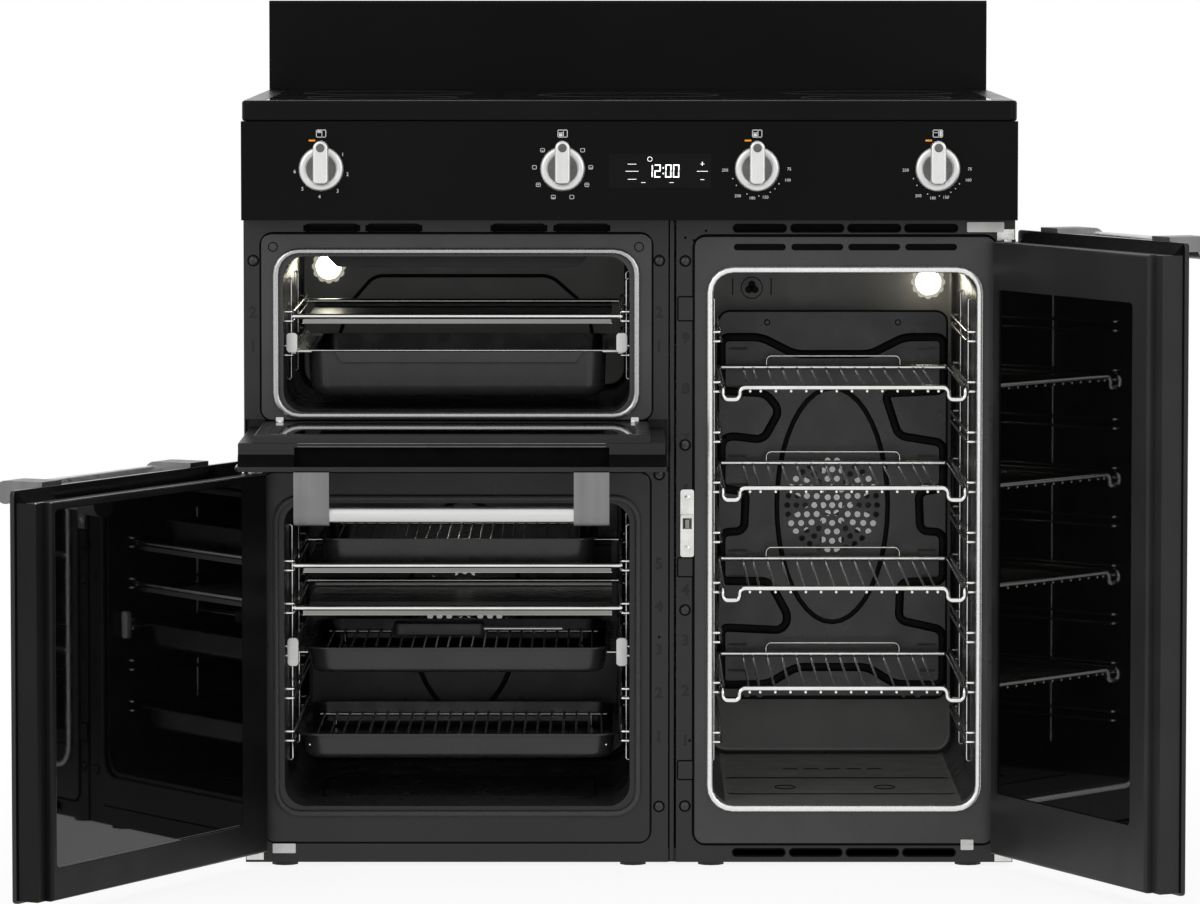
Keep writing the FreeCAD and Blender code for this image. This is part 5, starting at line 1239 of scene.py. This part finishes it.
def ovenIcon(x, z, place):
    # the three ovens as a divided frame, with the one that the knob serves filled
    wide, tall = [size / 2 for size in markShape["icon"]]
    fills = {"grill": (x - wide + 1.5, x - 0.1, z + 1.9, z + tall - 1.2),
             "main": (x - wide + 1.5, x - 0.1, z - tall + 1.3, z + 0.1),
             "tall": (x + 2.0, x + wide - 1.3, z - tall + 1.3, z + tall - 1.3)}
    return square(x, z, 2 * wide, 2 * tall, 0.8) + [
        stripe(x + 0.6, x + 1.3, z - tall, z + tall), stripe(x - wide, x + 1.0, z + 0.8, z + 1.4),
        stripe(*fills[place])]


def makeMarks():
    values = markShape
    y, near, columns = values["y"], values["reach"], knobShape["columns"]
    depth = {"extrude": values["thick"] * mm}
    white, orange = [], []
    for text, turn in values["grill"]:
        x, z = around(columns[0], turn, near)
        white.append(words(text, x, y, z, values["size"], **depth))
    for i, turn in enumerate(values["functions"]):
        x, z = around(columns[1], turn, near + 2)
        white += square(x, z, 5.2, 4.6, 0.6)
        if i % 3:
            white.append(stripe(x - 1.2, x + 1.2, z - 2.2 + i % 3, z - 1.4 + i % 3))
    for column in columns[2:]:
        for text, turn, far in values["heat"]:
            x, z = around(column, turn, values["far"] if far else near + 2)
            white.append(words(text, x, y, z, values["small"], **depth))
        for turn in values["dots"]:
            x, z = around(column, turn, near - 1)
            white.append(dot(x, z, 1.2, 1.2))
    for column, place in zip(columns, ("grill", "main", "main", "tall")):
        white += ovenIcon(column, knobShape["z"] + values["iconUp"], place)
    out, up = values["dashAt"]
    for column in (columns[0], *columns[2:]):
        orange.append(dot(column + out, knobShape["z"] + up, *values["dash"]))
    return joined("faciaMarks", paintAll(white, "markWhite") + paintAll(orange, "markOrange"))


hang(makeMarks(), "cooker", "facia_black")

displayShape = {"x": (-23.9, 94.4), "z": (793.5, 833.1), "y": -71.0, "digit": (7.2, 15.0), "bar": 1.35,
                "slant": 0.03, "low": 805.4, "clock": (("1", 19.5), ("2", 28.5), ("0", 41.0), ("0", 50.0)),
                "colon": (38.0, 39.8), "colonZ": (809.2, 815.6), "dashTall": 0.45,
                "dashes": ((3, 812.4, 15), (3, 820.6, 10), (3, 803.2, 10), (84, 812.4, 13), (84, 820.8, 4.6),
                           (84, 802.8, 4.6), (48.5, 799.4, 5.0), (16.0, 799.4, 5.0)),
                "cross": ((83.6, 84.4), (818.9, 823.5)), "ring": (23.5, 826.6, 2.6)}
digitBars = {"0": "abcdef", "1": "bc", "2": "abged"}


def makeDigit(text, x):
    values = displayShape
    wide, tall = values["digit"]
    bar, low, y, half = values["bar"], values["low"], values["y"] - 0.14, tall / 2
    upper, lower = (half + 0.4, tall - 0.6), (0.6, half - 0.4)
    places = {"a": (0, wide, tall - bar, tall), "d": (0, wide, 0, bar), "g": (0, wide, *span(half, bar / 2)),
              "f": (0, bar, *upper), "e": (0, bar, *lower), "b": (wide - bar, wide, *upper),
              "c": (wide - bar, wide, *lower)}
    bars = []
    for key in digitBars[text]:
        left, right, bottom, top = places[key]
        shift = x + values["slant"] * (bottom + top) / 2
        x0, x1, z0, z1 = left + shift, right + shift, low + bottom, low + top
        bars.append(plate((x0, x1), (y, y + 0.12), (z0, z1), 0.5, steps=2))
    return bars


def makeDisplay():
    values = displayShape
    y = values["y"]
    thin, tall = (y - 0.14, y - 0.02), values["dashTall"]
    pane = plate(values["x"], (y - 0.02, y + 1.9), values["z"], 2, 0.2)
    light = [bar for text, start in values["clock"] for bar in makeDigit(text, start)]
    light += [plate(values["colon"], thin, (z, z + 1.8), 0.8, steps=2) for z in values["colonZ"]]
    light += [plate(span(x, wide / 2), thin, (z, z + tall), 0.1, steps=1) for x, z, wide in values["dashes"]]
    crossX, crossZ = values["cross"]
    light.append(plate(crossX, thin, crossZ, 0.2, steps=1))
    x, z, radius = values["ring"]
    light.append(hoop(x, z, radius, radius, y - 0.05, 0.3, 24))
    return joined("displayWindow", [paint(pane, "displayGlass")] + paintAll(light, "displayLight"))


hang(makeDisplay(), "cooker", "display", "display_window")
print("hob, knobs and display made")

# fasteners, catch and pressed figures
screwShape = {"y": -22.0, "radius": 5.0, "head": 2.1, "rim": (4.8, 6.9), "rimTall": 0.35,
              "spots": ((-436.2, 707.4), (34.8, 707.4), (34.8, 458.5), (34.8, 70.1), (65.0, 707.0),
                        (65.0, 493.0), (65.0, 300.3), (65.0, 70.5))}


def makeScrew(x, z, y, radius, head):
    profile = [(0, 0), (radius, 0), (radius, 0.5), (radius * 0.75, head * 0.82), (radius * 0.35, head),
               (0, head)]
    dome = lathe(profile, vec(x, y, z), forward, 24)
    for wide, tall in ((radius * 0.5, radius * 0.14), (radius * 0.14, radius * 0.5)):
        cutOut(dome, block(span(x, wide), (y - head - 1, y - head * 0.45), span(z, tall)))
    return dome


def makeScrews():
    values = screwShape
    (inner, outer), tall, y = values["rim"], values["rimTall"], values["y"]
    screws = []
    for x, z in values["spots"]:
        rim = lathe([(inner, 0), (outer, 0), (outer, tall), (inner, tall)], vec(x, y, z), forward, 24)
        screw = makeScrew(x, z, y, values["radius"], values["head"])
        screws += [paint(rim, "shadowBlack"), paint(screw, "screwGrey")]
    return joined("frameScrews", screws)


hang(makeScrews(), "cooker", "hardware", "frame_screws")

catchShape = {"x": (59.4, 75.4), "z": (362.3, 441.3), "y": (-24.0, -22.0), "cageY": (-29.0, -24.0),
              "cage": 10, "room": (62.1, 72.7), "roomTall": 6.3, "screw": (3.4, 1.2), "screwIn": 10,
              "roller": (67.4, -29.0, 395.8), "radius": 4.9, "neck": 3.4, "length": 12.0}


def makeCatch():
    values = catchShape
    x, z = values["x"], values["z"]
    middle = sum(z) / 2
    back = plate(x, values["y"], z, 3, 0.5)
    cage = plate(x, values["cageY"], span(middle, values["cage"]), 1.5, 0.6)
    for piece in (back, cage):
        cutOut(piece, block(values["room"], (-31, -21), span(middle, values["roomTall"])))
    parts = [soften(back), soften(cage)]
    for height in (z[0] + values["screwIn"], z[1] - values["screwIn"]):
        parts.append(makeScrew(sum(x) / 2, height, values["y"][0], *values["screw"]))
    hang(joined("catchPlate", paintAll(parts, "plated")), "cooker", "hardware", "catch_plate")
    r, neck, length = values["radius"], values["neck"], values["length"]
    roller = lathe([(0, 0), (neck, 0), (r, 1.2), (r, length - 1.2), (neck, length), (0, length)],
                   vec(*values["roller"]), upward, 32)
    roller.name = "catchRoller"
    hang(paint(roller, "traySteel"), "catch_roller_body", "hardware", "catch_roller")


makeCatch()

# level figures: the left ones by place, the tall oven's by pitch
figureShape = {"y": -22.1, "size": 18.0, "line": 0.42,
               "left": (("2", -436.8, 647.0), ("1", -436.8, 607.7), ("2", 34.6, 647.0), ("1", 34.6, 607.7),
                        ("5", 34.7, 354.0), ("4", 34.7, 304.0), ("3", 34.7, 253.5), ("2", 34.7, 203.0),
                        ("1", 34.7, 151.5)),
               "tallX": 65.5, "first": 147.0, "pitch": 58.7, "count": 9}


def makeFigures():
    values = figureShape
    figures = list(values["left"])
    for n in range(values["count"]):
        figures.append((str(n + 1), values["tallX"], values["first"] + n * values["pitch"]))
    outline = {"fill_mode": "NONE", "bevel_depth": values["line"] * mm, "bevel_resolution": 1}
    marks = [words(text, x, values["y"], z, values["size"], **outline) for text, x, z in figures]
    return paint(joined("levelFigures", marks), "stovePaint")


hang(makeFigures(), "cooker", "enamel")

# pressed edges, bosses and plates of the front frames, with black lines of painted shade along the pressed
# edges, round the bosses and in the dimples and holes, and black rims and backs of painted shade at the
# vents; vents have their columns, height and extra width
frameShape = {"y": -22.3, "post": ((46.6, 52.6), (-21.0, 60.0), (5.0, 754.0)),
              "edge": {"grill": 2.3, "main": 2.2, "tall": 3.0}, "edgeBend": 13, "edgeSquash": 0.4,
              "vents": (((-345.0, -273.0, -128.0, -55.0), 745.0, 0.6), (ventColumns, 745.0, 0.3),
                        (ventColumns, 16.0, 0.3)), "ventRim": 1.2, "ventBack": (36, 7),
              "ventBackY": (-19.0, -18.6),
              "bosses": ((637.6, 665.5), (339.3, 361.4), (101.7, 123.8)), "bossX": (56.4, 74.8),
              "dimples": ((-413.3, 723.4), (11.3, 723.4)), "dimple": 5.2, "hole": 1.6,
              "holes": ((34.8, 268.6), (70.6, 147.4), (80.6, 60.0), (64.9, 734.0), (74.9, 731.0),
                        (89.0, 742.0))}


def makeFrameDetails():
    values = frameShape
    y = values["y"]
    dark, bosses = [], []
    for key, oven in ovens.items():
        rimX, rimZ = reach(oven, "flange")
        edge = frameWire(rimX, y, rimZ, values["edge"][key], values["edgeBend"])
        dark.append(squash(edge, values["edgeSquash"], y))
    for z in values["bosses"]:
        dark.append(frameWire(values["bossX"], y, z, 0.9, 2, 1))
        dark.append(hoop(sum(values["bossX"]) / 2, sum(z) / 2, 2.2, 2.2, y, 0.4, 12))
        bosses.append(plate(values["bossX"], (y - 0.4, y + 0.3), z, 2, 0.3))
    dark += [hoop(x, z, values["dimple"], values["dimple"], y - 1.8, 0.6, 24) for x, z in values["dimples"]]
    dark += [stud(values["hole"], 0.15, -0.2, vec(x, y + 0.3, z), forward) for x, z in values["holes"]]
    post = plate(*values["post"], 1.5, 0.6, axis=2)
    backX, backZ = values["ventBack"]
    for columns, z, wider in values["vents"]:
        for x in columns:
            rim = squash(ventSlot(x, z, y - 0.1, wider + values["ventRim"]), 0.02, y - 0.1)
            cutOut(rim, ventSlot(x, z, y, wider - 0.5))
            dark += [rim, block(span(x, backX), values["ventBackY"], span(z, backZ))]
    return joined("frameDetails", paintAll(dark, "shadowBlack") + paintAll(bosses + [post], "carcassEnamel"))


hang(makeFrameDetails(), "cooker", "enamel")

# width and height of each hinge plate; the wide ones have two screw holes
hingePlates = {"y": (-26.4, -24.6), "holeY": (-27, -25.4), "hole": 1.5, "wide": 12, "shares": (0.2, 0.8),
               "plates": (((391.4, 434.5), (740.6, 752.4)), ((386.8, 401.8), (19.4, 31.6)),
                          ((-416.0, -389.0), (15.6, 26.8)), ((-442.5, -427.0), (458.5, 464.5)),
                          ((-410.4, -401.6), (518.9, 525.5)), ((2.0, 11.0), (518.9, 525.5)))}


def makeHingePlates():
    values = hingePlates
    hole = values["hole"]
    plates = []
    for x, z in values["plates"]:
        piece = plate(x, values["y"], z, 1.2, 0.4)
        wide = x[1] - x[0]
        for share in values["shares"] if wide > values["wide"] else ():
            middle = x[0] + wide * share
            cutOut(piece, plate(span(middle, hole), values["holeY"], span(sum(z) / 2, hole), 1.4, steps=3))
        plates.append(piece)
    return joined("hingePlates", paintAll(plates, "capWhite"))


hang(makeHingePlates(), "cooker", "hardware")
print("screws, catch, figures and frame details made")

# finishes of the nodes that stay as built
nodeFinishes = {
    "carcassEnamel": ("left_front_frame", "right_front_frame"),
    "stovePaint": ("side_panels", "chassis_base"),
    "splashGloss": ("splashback",),
    "faciaGloss": ("facia_panel",),
    "galvanised": ("rear_cover", "fan_motors"),
    "plated": ("hinge_brackets",),
    "railSteel": ("runner_tracks",),
    "blackPlastic": ("feet", "terminal_block", "induction_coils", "rotary_switches"),
}
for finish, names in nodeFinishes.items():
    paintAll([nodes[name] for name in names], finish)
print("finishes set on the built nodes")
